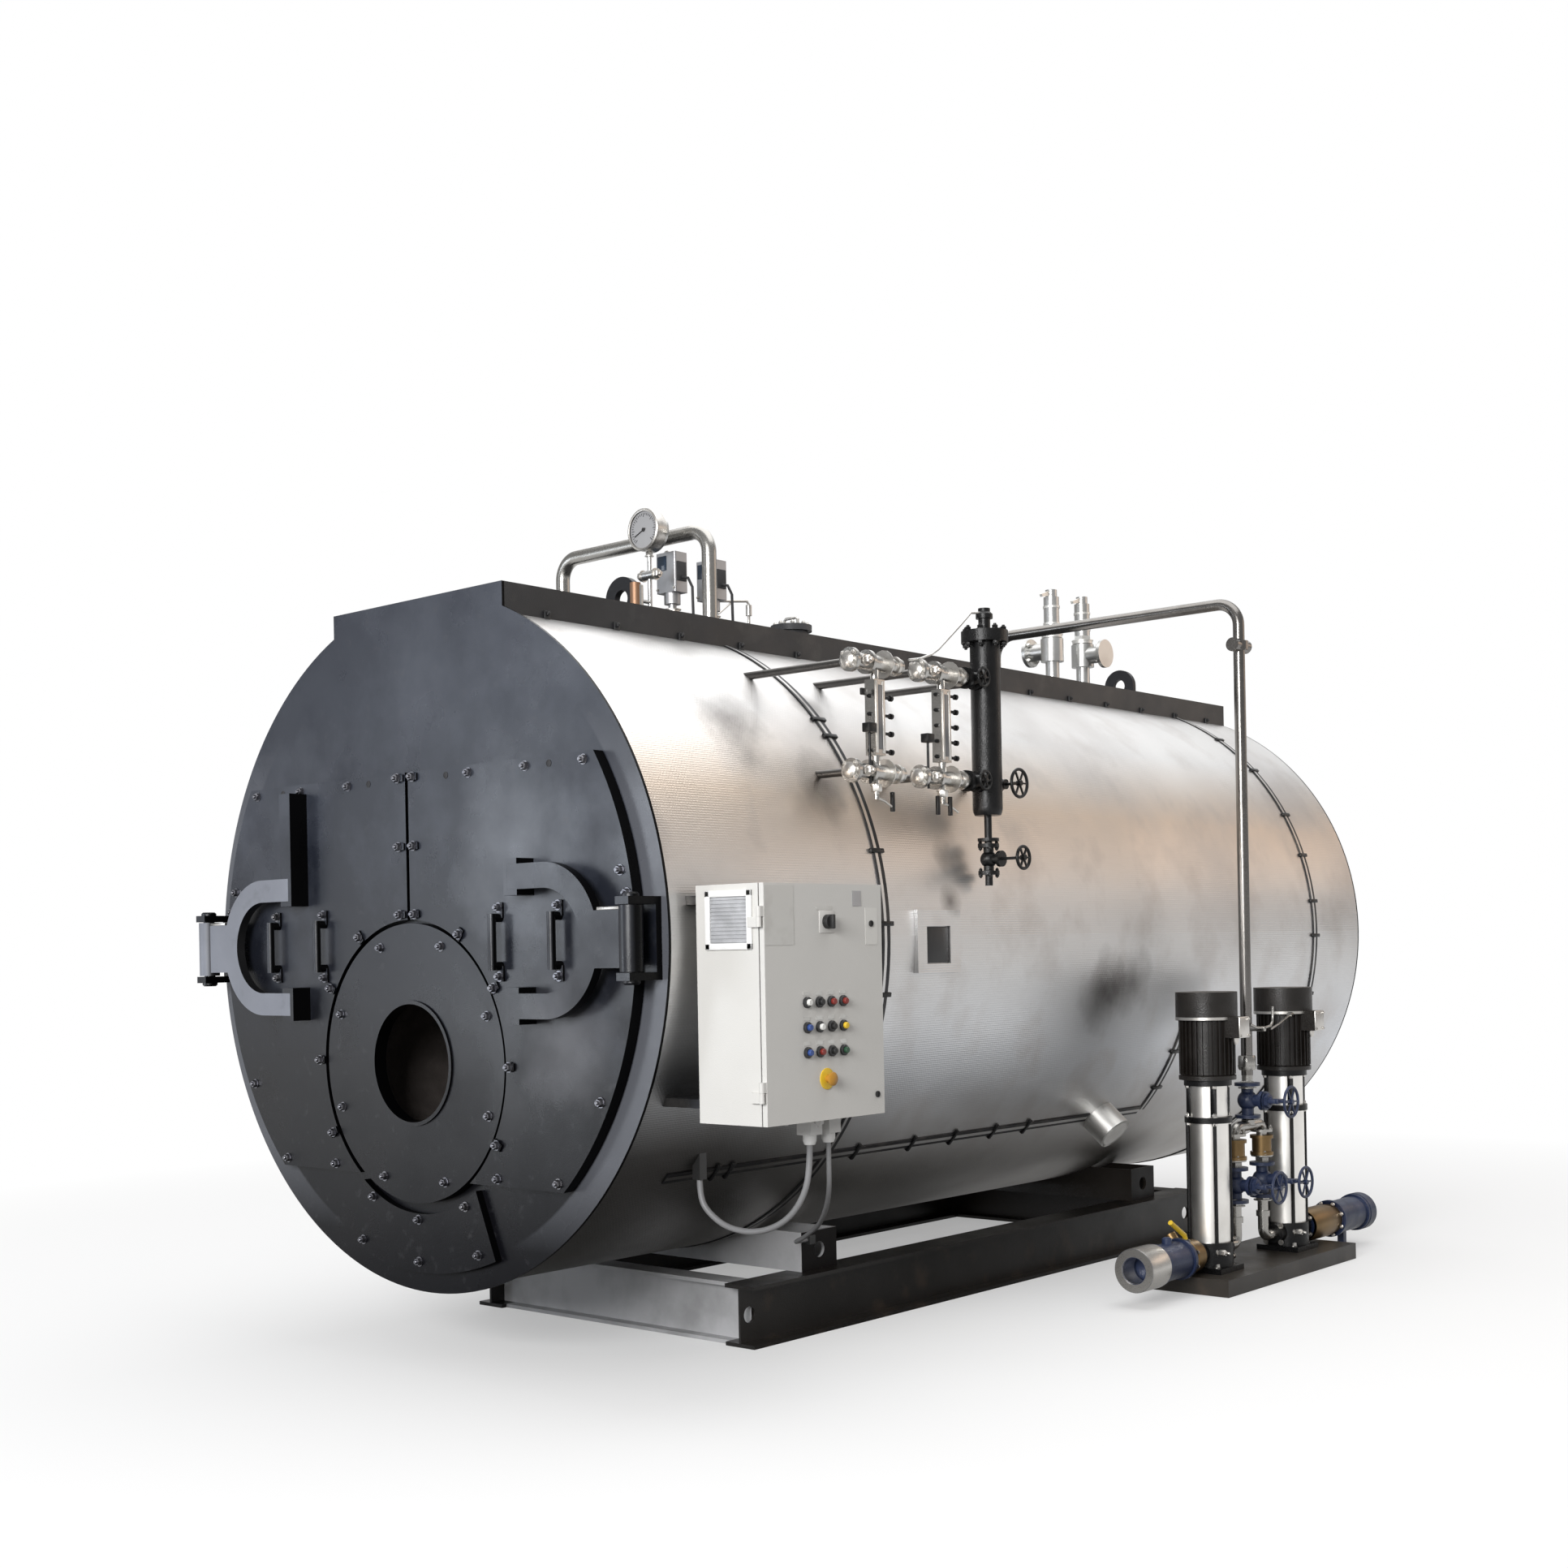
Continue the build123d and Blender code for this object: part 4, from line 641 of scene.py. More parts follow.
def front_fittings():
    """Bolts of the burner plate, the cleaning cover and the hinge brackets."""
    bolts = Form()
    for index in range(BURNER_BOLT_COUNT):
        angle = radians(22.5 + 360 / BURNER_BOLT_COUNT * index)
        x = BURNER_BOLT_CIRCLE * cos(angle)
        z = BURNER_LEVEL + BURNER_BOLT_CIRCLE * sin(angle)
        bolts.nut((x, BURNER_FACE, z), FRONT, BOLT_ACROSS, BOLT_HEIGHT, angle)
    for x, z in HATCH_BOLTS:
        bolts.nut((x, HATCH_FACE, z), FRONT, BOLT_ACROSS, BOLT_HEIGHT, 0.2)
    bolts.ready("front_bolts", "dark_bolt", "blue_black_paint")
    pins = Form()
    for side in (-1, 1):
        place = (side * HINGE_X, HINGE_Y, BRACKET_HALF)
        pins.turned([(0, 0), (30, 0), (30, 8), (24, 14), (0, 14)], place, UP, 20)
        place = (side * HINGE_X, HINGE_Y, -BRACKET_HALF)
        pins.turned([(0, 0), (30, 0), (30, 8), (24, 14), (0, 14)], place, DOWN, 20)
    pins.ready("hinge_pin_heads", "blue_black_paint", "blue_black_paint")


door_fittings(1, "right_door")
door_fittings(-1, "left_door")
front_fittings()

# Fittings of the control cabinet

BUTTON_Y = (316.0, 380.0, 442.0, 504.0)
BUTTON_Z = (-222.0, -305.0, -388.0)
BUTTON_CAPS = (
    ("dial_white", "dial_black", "red_plastic", "red_plastic"),
    ("blue_plastic", "dial_white", "dial_black", "yellow_plastic"),
    ("blue_plastic", "red_plastic", "dial_black", "green_plastic"),
)
SWITCH = (426.0, 45.0)
STOP = (414.0, -480.0)
LOCKS = ((684.0, -550.0), (664.0, 38.0))


def cabinet_fittings():
    """Knob, buttons, stop button, locks and blank plates on the door, and the vent in the case's side."""
    door = CABINET_DOOR_X
    caps = {}
    bezels = Form()
    plates = Form()
    for z, row in zip(BUTTON_Z, BUTTON_CAPS):
        for y, colour in zip(BUTTON_Y, row):
            bezels.turned([(0, 0), (19, 0), (19, 8), (16, 11), (0, 11)], (door, y, z), RIGHT, 20)
            cap = caps.setdefault(colour, Form())
            cap.turned([(0, 6), (11, 6), (11, 19), (9, 21.5), (0, 22)], (door, y, z), RIGHT, 20)
            plates.slab((door, y - 16, z + 23), (door + 1.2, y + 16, z + 36))
    bezels.ready("button_bezels", "black_plastic", "cabinet_paint", "cabinet_door")
    for colour, cap in caps.items():
        cap.ready(f"button_caps_{colour}", colour, "cabinet_paint", "cabinet_door")
    plates.slab((door, 116, -31), (door + 1.2, 258, 165))
    plates.slab((door, 374, 84), (door + 1.2, 458, 98))
    plates.ready("blank_plates", "blank_plate", "cabinet_paint", "cabinet_door")
    knob = Form()
    y, z = SWITCH
    knob.turned([(0, 2), (24, 2), (24, 16), (20, 20), (0, 20)], (door, y, z), RIGHT, 28)
    knob.slab((door + 18, y - 7, z - 24), (door + 36, y + 7, z + 24), 3)
    for lock_y, lock_z in LOCKS:
        knob.turned([(0, 0), (11, 0), (11, 5), (8, 5), (8, 2), (0, 2)], (door, lock_y, lock_z), RIGHT, 18)
    knob.ready("main_switch", "dial_black", "cabinet_paint", "cabinet_door")
    backing = Form().slab((door, y - 38, z - 38), (door + 2.5, y + 38, z + 38), 1)
    backing.ready("main_switch_plate", "cabinet_paint", "cabinet_paint", "cabinet_door")
    sheet = Form().slab((door, 634, -34), (door + 1.0, 700, 92))
    sheet.ready("pale_plate", "pale_plastic", "cabinet_paint", "cabinet_door")
    marker = Form().slab((door, 566, 98), (door + 1.5, 612, 150))
    marker.ready("grey_plate", "switch_housing", "cabinet_paint", "cabinet_door")
    y, z = STOP
    ring = Form().turned([(0, 0), (36, 0), (36, 3), (33, 4), (0, 4)], (door, y, z), RIGHT, 32)
    ring.ready("stop_ring", "yellow_plastic", "cabinet_paint", "cabinet_door")
    stop = Form().turned([(0, 4), (13, 4), (13, 20), (23, 23), (23, 29), (17, 34), (0, 36)], (door, y, z),
                         RIGHT, 28)
    stop.ready("stop_button", "amber_plastic", "cabinet_paint", "cabinet_door")
    vent = Form()
    x0, x1, z0, z1 = 1366.0, 1572.0, -44.0, 152.0
    rim = 22.0
    face = CABINET_Y[0]
    vent.slab((x0, face - 9, z1 - rim), (x1, face, z1), 3)
    vent.slab((x0, face - 9, z0), (x1, face, z0 + rim), 3)
    vent.slab((x0, face - 9, z0), (x0 + rim, face, z1), 3)
    vent.slab((x1 - rim, face - 9, z0), (x1, face, z1), 3)
    vent.ready("cabinet_vent", "white_plastic", "cabinet_paint")
    mesh = Form().slab((x0 + rim, face - 1.5, z0 + rim), (x1 - rim, face, z1 - rim))
    count = 12
    for index in range(count):
        low = z0 + rim + (z1 - z0 - 2 * rim) * index / count
        mesh.slab((x0 + rim, face - 5, low + 2), (x1 - rim, face, low + 8), 1.5)
    mesh.ready("cabinet_vent_filter", "vent_mesh", "cabinet_paint")
    collars = Form()
    for y in GLANDS_Y:
        collars.turned([(12, 0), (24, 0), (24, 20), (19, 34), (12, 34)], (GLAND_X, y, GLAND_END), DOWN, 24)
    collars.nut((GLAND_X - 70, GLANDS_Y[0] - 40, CABINET_Z[0]), DOWN, 30, 22)
    collars.nut((GLAND_X + 60, GLANDS_Y[0] - 20, CABINET_Z[0]), DOWN, 30, 22)
    collars.ready("gland_collars", "white_plastic", "white_plastic")


cabinet_fittings()

# Fittings on top

SWITCHES_Y = (1180.0, 1420.0)
SWITCH_X = 200.0
SWITCH_TOP = 1600.0
VALVES_Y = ((4350.0, -1), (4660.0, 1))
TOP_COVER = (0.0, 2165.0, 1440.0)


def dial():
    """The face of the pressure gauge: rim, scale marks, numbers left blank, and hand."""
    x, y, z = DIAL
    rim = Form().turned([(74, 0), (DIAL_RADIUS, 0), (DIAL_RADIUS, 7), (80, 10), (75, 8)], DIAL, FRONT, 56)
    rim.turned([(60, -58.5), (84, -58.5), (84, -50), (86.5, -46), (86.5, 0)], DIAL, FRONT, 56)
    rim.ready("dial_rim", "bright_bolt", "gauge_steel")
    Form().turned([(0, 1), (76, 1), (76, 0)], DIAL, FRONT, 56).ready("dial_face", "dial_face", "gauge_steel")
    marks = Form()
    for index in range(31):
        angle = radians(225 - 9 * index)
        reach = 16 if index % 5 == 0 else 9
        middle = 68 - reach / 2
        cx, cz = x + middle * cos(angle), z + middle * sin(angle)
        spin = Matrix.Rotation(-angle, 3, "Y")
        marks.slab((cx - reach / 2, y - 1.8, cz - 1.2), (cx + reach / 2, y - 0.8, cz + 1.2), turn=spin)
    hand = radians(205)
    cx, cz = x + 22 * cos(hand), z + 22 * sin(hand)
    marks.slab((cx - 34, y - 4, cz - 2), (cx + 34, y - 2.5, cz + 2), turn=Matrix.Rotation(-hand, 3, "Y"))
    marks.turned([(0, 0), (8, 0), (8, 5), (0, 6)], DIAL, FRONT, 20)
    marks.ready("dial_marks", "dial_black", "gauge_steel")


def switch_fittings():
    """Windows, caps, conduits and lock nuts of the pressure switches, and the pipe frame behind them."""
    x, top = SWITCH_X, SWITCH_TOP
    glass_part = Form()
    bright = Form()
    dark = Form()
    for y in SWITCHES_Y:
        face = y - 37.5
        glass_part.slab((x - 44, face - 3, top - 74), (x + 6, face, top - 14), 2)
        dark.slab((x + 55, y - 26, top - 120), (x + 60, y + 26, top - 40), 2)
        bright.turned([(0, 0), (16, 0), (16, 10), (12, 14), (0, 14)], (x - 20, y, top), UP, 20)
        bright.nut((x, y, top - 230), DOWN, 50, 26)
        for sx in (-46, 46):
            bright.nut((x + sx, face, top - 150), FRONT, 10, 5)
        line = [(x + 60, y, top - 105), (x + 92, y, top - 112),
                (x + 104, y + 12, top - 150), (x + 104, y + 16, top - 306)]
        dark.tube(line, 6)
    bright.tube([(200, 1458, 1440), (200, 1560, 1452), (200, 1640, 1462), (200, 1652, 1450),
                 (200, 1652, 1291)], 6)
    bright.tube([(200, 1458, 1345), (200, 1652, 1352)], 5)
    bright.tube([(200, 1458, 1385), (200, 1550, 1450)], 4)
    bright.turned(sleeve(0, 13, 46), (200, 1652, 1400), UP, 16)
    glass_part.ready("switch_windows", "dark_glass", "switch_housing")
    bright.ready("switch_trim", "bright_bolt", "gauge_steel")
    dark.ready("switch_covers", "dark_mesh", "switch_housing")
    copper = Form().turned(sleeve(0, 22, 128), (GAUGE[0], GAUGE[1] - 84, WALKWAY + 31), UP, 24)
    copper.ready("siphon_sleeve", "copper", "bronze")
    cross = Form()
    cross.nut((GAUGE[0] - 34, GAUGE[1], DIAL[2] - 180.6), (-1, 0, 0), 34, 22)
    cross.nut((GAUGE[0] + 34, GAUGE[1], DIAL[2] - 180.6), RIGHT, 34, 22)
    cross.nut((GAUGE[0], GAUGE[1], DIAL[2] - 105), UP, 26, 18)
    cross.ready("gauge_cock_nuts", "bright_bolt", "gauge_steel")


def walkway_fittings():
    """Clips along both skirts of the walkway, and the bolts of the round cover."""
    clips = Form()
    count = 15
    for side in (-1, 1):
        for index in range(count):
            y = 210 + index * (LENGTH - 420) / (count - 1)
            x0, x1 = sorted((side * 500.5, side * 509))
            clips.slab((x0, y - 14, 1170), (x1, y + 14, 1206), 2)
            clips.nut((side * 509, y, 1194), (side, 0, 0), 15, 9)
    clips.ready("walkway_clips", "walkway_paint", "walkway_paint")
    bolts = Form()
    for c, s in around(8):
        bolts.nut((TOP_COVER[0] + 74 * c, TOP_COVER[1] + 74 * s, TOP_COVER[2]), UP, 18, 12)
    bolts.tube([(-40, TOP_COVER[1], 1440), (-40, TOP_COVER[1], 1468), (-30, TOP_COVER[1], 1476),
                (30, TOP_COVER[1], 1476), (40, TOP_COVER[1], 1468), (40, TOP_COVER[1], 1440)], 7)
    bolts.ready("top_cover_bolts", "bright_bolt", "gauge_steel")


def valve_fittings():
    """Flange bolts, rings, caps and levers of the safety valves."""
    bright = Form()
    for y, side in VALVES_Y:
        for c, s in around(4, 45):
            bright.nut((66 * c, y + 66 * s, WALKWAY + 20), UP, 20, 14)
            bright.nut((side * 130, y + 60 * c, 1560 + 60 * s), (-side, 0, 0), 18, 12)
        for level, radius, height in ((1628, 56, 16), (1700, 46, 10), (1790, 46, 12)):
            bright.turned(sleeve(30, radius, height), (0, y, level), UP, 28)
        bright.nut((0, y, 1644), UP, 84, 30)
        lever = [(-8, y - 20, 1858), (-8, y - 96, 1842), (-8, y - 104, 1856), (-8, y - 24, 1884)]
        bright.plate(lever, 16, RIGHT)
        bright.turned([(0, 0), (25, 0), (25, 14), (14, 22), (0, 22)], (0, y, 1866), UP, 24)
    bright.ready("safety_valve_trim", "pale_metal", "gauge_steel")


dial()
switch_fittings()
walkway_fittings()
valve_fittings()

# Fittings along the side

BAND_FACE = 1285.0
STRAP_ANGLE = -41.3
STRAP_ENDS = ((300.0, 3068.0), (3292.0, 3537.0))
HALF_BAND = (3560.0, -20.0, -41.3)
SKIRT_ANGLE = 67.4
BAND_CLAMPS = ((1185.0, (41, 37, 29, 14.5, 2, -10)), (4805.0, (54, 42, 28.5, 18, 7, -1, -14.6)))
STRAP_CLAMPS_Y = (556.0, 634.0, 1370.0, 1734.0, 2021.0, 2316.0, 2571.0)
HALF_CLAMPS = (-26.0, -35.0)


def strap_fittings():
    """The bright middle of each strap, and its dark clamps."""
    strips = Form()
    clamps = Form()
    # The bright strip sits 6 mm towards the front, so the dark strap shows wider behind it: partly the gap
    # beside the strap and partly painted shade.
    for y in BANDS_Y:
        strips.hoop(y - 6, BAND_FACE, 1.2, 15, SKIRT_ANGLE - 360 + 2 * (90 - SKIRT_ANGLE), SKIRT_ANGLE, 96)
    strips.hoop(HALF_BAND[0] - 6, BAND_FACE, 1.2, 15, HALF_BAND[2], HALF_BAND[1], 10)
    turn = radians(STRAP_ANGLE)
    spin = Matrix.Rotation(-turn, 3, "Y")
    x, z = BAND_FACE * cos(turn), BAND_FACE * sin(turn)
    for y0, y1 in STRAP_ENDS:
        strips.slab((x - 1.2, y0, z - 8), (x + 1.2, y1, z + 8), turn=spin)
    for y in STRAP_CLAMPS_Y:
        clamps.slab((x - 7, y - 9, z - 40), (x + 7, y + 9, z + 40), 3, turn=spin)
    for y, angles in BAND_CLAMPS + ((HALF_BAND[0], HALF_CLAMPS),):
        for angle in angles:
            turn = radians(angle)
            x, z = BAND_FACE * cos(turn), BAND_FACE * sin(turn)
            spin = Matrix.Rotation(-turn, 3, "Y")
            clamps.slab((x - 7, y - 40, z - 9), (x + 7, y + 40, z + 9), 3, turn=spin)
    strips.ready("strap_middles", "cladding_sheet", "cladding_sheet")
    clamps.ready("strap_clamps", "black_casting", "black_casting")


GAUGE_BOLTS = ((1095.0, (888.0, 821.0, 754.0, 686.0)), (1510.0, (930.0, 870.0, 810.0, 750.0, 690.0)))
GAUGE_RODS = ((1034.0, 758.0), (1392.0, 744.0))
GAUGE_LEVERS = (1172.0, 1457.0, 1537.0)
LINK_MIDDLE = 1706.0


def gauge_fittings():
    """Glass strips, cross bolts, rods, levers and flange bolts of the level gauges."""
    x = GAUGE_LINE
    dark = Form()
    bright = Form()
    window = Form()
    for y, levels in GAUGE_BOLTS:
        for z in levels:
            profile = [(0, -14), (6, -14), (6, 58), (11, 58), (11, 70), (0, 70)]
            dark.turned(profile, (x, y + 31, z), BACK, 12)
            dark.turned([(0, -4), (8, -4), (8, 8), (4, 14), (0, 14)], (x, y - 31, z), FRONT, 12)
        window.slab((x + 23, y - 12, 690), (x + 25, y + 12, 930), 1)
        bright.slab((x + 22, y - 26, 676), (x + 27, y - 14, 944), 2)
        bright.slab((x + 22, y + 14, 676), (x + 27, y + 26, 944), 2)
    for y, top in GAUGE_RODS:
        dark.tube([(x + 20, y, 560), (x + 20, y, top)], 5)
        dark.slab((x + 2, y - 22, top - 8), (x + 38, y + 22, top + 26), 3)
    for y in GAUGE_LEVERS:
        dark.slab((x + 8, y - 8, 462), (x + 22, y + 8, 536), 3)
    for y, _ in GAUGE_BOLTS:
        bright.tube([(x, y, 512), (x + 14, y + 30, 500), (x + 15, y + 78, 478)], 5)
        bright.nut((x, y, 560), DOWN, 36, 26)
    for y in GAUGES_Y:
        for level in (UPPER_LEVEL, LOWER_LEVEL):
            for c, s in around(4, 45):
                bright.nut((x + 34 * c, y, level + 34 * s), FRONT, 15, 10)
            bright.turned([(0, 0), (30, 0), (30, 12), (18, 20), (0, 20)], (x, y, level), FRONT, 24)
            bright.nut((x, y + 200, level), BACK, 74, 26)
            bright.turned(sleeve(30, 37, 14), (x, y + 262, level), BACK, 24)
            bright.nut((x + 30, y + 60, level), RIGHT, 30, 24)
    dark.slab((x - 6, 1012, 888), (x + 6, 1046, 914), 3)
    dark.ready("level_gauge_rods", "black_casting", "black_casting")
    bright.ready("level_gauge_trim", "bright_bolt", "gauge_steel")
    window.ready("level_gauge_glasses", "gauge_glass", "gauge_steel")


def column_fittings():
    """Bolts of the column's lid and of its valves, and the small wheels of the two link valves."""
    x = GAUGE_LINE
    dark = Form()
    for c, s in around(8, 22.5):
        px, py = x + 77 * c, COLUMN_Y + 77 * s
        dark.nut((px, py, UPPER_LEVEL + 199), UP, 22, 15)
        dark.nut((px, py, UPPER_LEVEL + 153), DOWN, 22, 15)
    dark.turned([(0, 0), (34, 0), (34, 18), (26, 26), (0, 26)], (x, COLUMN_Y, 1262), UP, 24)
    for level in (354.4, 245.6):
        for c, s in around(4, 45):
            px, py = x + 33 * c, COLUMN_Y + 33 * s
            dark.nut((px, py, level + 7.5), UP, 13, 9)
            dark.nut((px, py, level - 7.5), DOWN, 13, 9)
    dark.turned(sleeve(15, 43, 12), (x, COLUMN_Y, 372), UP, 28)
    for level in (UPPER_LEVEL, LOWER_LEVEL):
        place = (x + 66, LINK_MIDDLE, level)
        ring = []
        for index in range(24):
            angle = 2 * pi * index / 24
            ring.append((place[0], place[1] + 36 * cos(angle), place[2] + 36 * sin(angle)))
        dark.tube(ring, 6, 8, closed=True)
        dark.turned([(0, -16), (10, -16), (10, 8), (0, 10)], place, RIGHT, 16)
        for angle in (0, 60, 120):
            spin = Matrix.Rotation(radians(angle), 3, "X")
            low = (place[0] - 3, place[1] - 34, place[2] - 3.5)
            dark.slab(low, (place[0] + 3, place[1] + 34, place[2] + 3.5), 1, turn=spin)
    dark.ready("column_fittings", "black_casting", "black_casting")
    bright = Form()
    bright.tube([(x, COLUMN_Y - 30, 1282), (x, 1720, 1275), (x, 1650, 1220), (x, 1574, 1163), (x, 1500, 1108),
                 (x, 1455, 1083), (x, 1380, 1058), (x, 1309, 1046)], 5)
    bright.ready("probe_line", "gauge_steel", "gauge_steel")
    plate = Form().slab((1268, 1429, -108), (1286, 1575, 32), 1)
    plate.ready("holder_plate", "walkway_paint", "gauge_steel")
    rim = Form().turned([(70, 0), (84.5, 0), (84.5, -34), (84.2, -34)], NOZZLE_END, NOZZLE_DIRECTION, 36)
    rim.turned([(0, 0.5), (70, 0.5), (70, -6), (0, -6)], NOZZLE_END, NOZZLE_DIRECTION, 36)
    rim.ready("nozzle_face", "pale_metal", "gauge_steel")


NOZZLE_TURN = radians(-41.5)
NOZZLE_DIRECTION = (cos(NOZZLE_TURN), 0, sin(NOZZLE_TURN))
NOZZLE_END = (1400 * cos(NOZZLE_TURN), 3180.0, 1400 * sin(NOZZLE_TURN))

strap_fittings()
gauge_fittings()
column_fittings()

# Fittings of the pump set

SKID_TOP = -1501.0
STACK_LOW = -1371.0
STACK_TOP = -845.0
LANTERN_TOP = -655.0
SHOULDER = -391.8
MOTOR_TOP = -268.0
FEED_Y = 3495.0
RISERS_Y = (3365.0, 3625.0)
MANIFOLD = -1415.0
FIN_COUNT = 30


def pump_fittings():
    """Tie rods, fins, covers and bolts of both pumps."""
    x = PUMP_X
    rods = Form()
    fins = Form()
    bright = Form()
    for y in PUMPS_Y:
        for c, s in around(4, 45):
            rods.tube([(x + 95 * c, y + 95 * s, STACK_LOW), (x + 95 * c, y + 95 * s, STACK_TOP)], 8)
            px, py = x + 84 * c, y + 84 * s
            rods.slab((px - 11, py - 11, STACK_TOP + 26), (px + 11, py + 11, LANTERN_TOP - 26), 3)
            bright.nut((x + 92 * c, y + 92 * s, STACK_TOP + 26), UP, 20, 14)
            bright.nut((x + 92 * c, y + 92 * s, STACK_TOP), DOWN, 20, 12)
            bright.nut((x + 92 * s, y - 92 * c, LANTERN_TOP - 26), DOWN, 18, 12)
            bright.nut((x + 90 * c, y + 90 * s, SKID_TOP + 24), UP, 24, 16)
        for index in range(FIN_COUNT):
            angle = 2 * pi * index / FIN_COUNT
            c, s = cos(angle), sin(angle)
            spin = Matrix.Rotation(angle, 3, "Z")
            fx, fy = x + 115 * c, y + 115 * s
            fins.slab((fx - 8, fy - 2, LANTERN_TOP + 24), (fx + 8, fy + 2, SHOULDER - 2), turn=spin)
        fins.turned([(105, 0), (125, 0), (125, 18), (110, 24), (105, 24)], (x, y, LANTERN_TOP), UP, 36)
        fins.turned(sleeve(0, 60, 3), (x, y, MOTOR_TOP - 2.8), UP, 36)
        bright.turned(sleeve(134, 136.5, 12), (x, y, SHOULDER + 2), UP, 48)
        bright.slab((1738, y - 46, -469), (1745, y + 46, -377), 3)
        for sy in (-36, 36):
            for sz in (-36, 36):
                bright.nut((1745, y + sy, -423 + sz), RIGHT, 9, 5)
        bright.turned([(0, 0), (15, 0), (15, 16), (10, 30), (0, 30)], (1700, y, -469), DOWN, 18)
        bright.nut((x + 66, y - 60, STACK_LOW - 40), RIGHT, 24, 40)
    for y, sign in zip(PUMPS_Y, (-1, 1)):
        for face in (y + sign * 165, y - sign * 140):
            for c, s in around(4, 45):
                bright.nut((x + 54 * c, face - 4, MANIFOLD + 54 * s), BACK if face < y else FRONT, 18, 12)
    rods.ready("pump_tie_rods", "black_casting", "black_casting")
    fins.ready("motor_fins", "motor_paint", "motor_paint")
    bright.ready("pump_bolts", "bright_bolt", "gauge_steel")


def riser_fittings():
    """Unions, flange bolts and yokes on the risers and the feed pipe, and the thin loops beside it."""
    x = PUMP_X
    bright = Form()
    blue = Form()
    for y in RISERS_Y:
        for level in (-1229, -1061):
            bright.nut((x, y, level - 18), UP, 58, 36)
        for level in (-1043, -929):
            bright.turned(sleeve(24, 50, 12), (x, y, level), UP, 28)
            for c, s in around(4, 45):
                bright.nut((x + 42 * c, y + 42 * s, level + 12), UP, 16, 11)
        bright.turned(sleeve(24, 31, 26), (x, y, -1320), UP, 24)
    for level in (-880, -706, -606):
        bright.nut((x, FEED_Y, level - 14), UP, 58, 34)
    bright.turned([(26, 0), (36, 0), (40, 8), (40, 58), (36, 66), (26, 66)], (x, FEED_Y, -636), UP, 28)
    for y, z in ((RISERS_Y[0], -1150), (RISERS_Y[1], -1150), (FEED_Y, -775)):
        for sy in (-1, 1):
            blue.slab((x + 78, y + sy * 22 - 5, z - 9), (x + 158, y + sy * 22 + 5, z + 9), 2)
        blue.slab((x + 150, y - 28, z - 10), (x + 164, y + 28, z + 10), 2)
        blue.nut((x + 92, y, z), RIGHT, 60, 22)
    loop = ((3357, -420), (3420, -438), (3500, -442), (3556, -436), (3576, -418), (3580, -392), (3580, -348))
    bright.tube([(1650, y, z) for y, z in loop], 6)
    bright.tube([(1650, 3556, -452), (1650, 3660, -424), (1650, 3759, -392)], 5)
    bright.turned([(0, -12), (12, -12), (12, 12), (0, 12)], (1650, 3759, -392), BACK, 14)
    bright.slab((x + 20, 3476, -458), (1658, 3500, -436), 3)
    bright.ready("riser_trim", "pipe_steel", "pipe_steel")
    blue.ready("stop_valve_yokes", "blue_casting", "blue_casting")


def suction_fittings():
    """The strainers' covers, the bright open end, the flange rims and the yellow lever."""
    x, z = PUMP_X, MANIFOLD
    brown = Form()
    bright = Form()
    blue = Form()
    brown.turned([(60, 0), (71, 0), (71, 34), (76, 40), (76, 70), (71, 76), (71, 108), (60, 108)],
                 (x, 2960, z), FRONT, 40)
    brown.turned([(60, 0), (72, 0), (78, 30), (78, 210), (72, 240), (72, 279), (60, 279)],
                 (x, 4030, z), BACK, 40)
    bright.turned([(92.6, 0), (93.6, 8), (93.6, 148), (91, 154.2), (58, 154.2), (54.4, 150), (54.4, 60)],
                  (x, 2618, z), FRONT, 48)
    for y, direction in ((2850, FRONT), (2640, FRONT), (4311, BACK), (4581, BACK)):
        blue.turned(sleeve(78, 90, 18), (x, y, z), direction, 40)
    blue.turned([(0, 0), (22, 0), (22, 26), (14, 32), (0, 32)], (x, 2742, z + 74), UP, 24)
    brown.tube([(x - 50, 2905, z + 50), (x - 78, 2905, z + 92)], 26, 18)
    for y in (2868, 4294):
        for c, s in around(8, 22.5):
            bright.nut((x + 80 * c, y, z + 80 * s), BACK if y < 3000 else FRONT, 14, 10)
    brown.ready("strainer_covers", "bronze", "bronze")
    bright.ready("suction_trim", "bright_bolt", "gauge_steel")
    blue.ready("suction_flanges", "blue_casting", "blue_casting")
    lever = Form()
    lever.tube([(x, 2906, z + 66), (x, 2892, z + 96), (x, 2840, z + 126), (x, 2774, z + 165)], 11, 12)
    lever.ready("suction_lever", "yellow_plastic", "blue_casting")


def rear_fittings():
    """Bolts of the flue flange and of the round rear cover."""
    bolts = Form()
    for c, s in around(16):
        bolts.nut((284 * c, LENGTH + 240, 620 + 284 * s), FRONT, 22, 15)
    for c, s in around(12):
        bolts.nut((228 * c, LENGTH + 24, BURNER_LEVEL + 228 * s), BACK, 26, 17)
    bolts.ready("rear_bolts", "bright_bolt", "gauge_steel")


pump_fittings()
riser_fittings()
suction_fittings()
rear_fittings()

# Cables: the same points as the solids

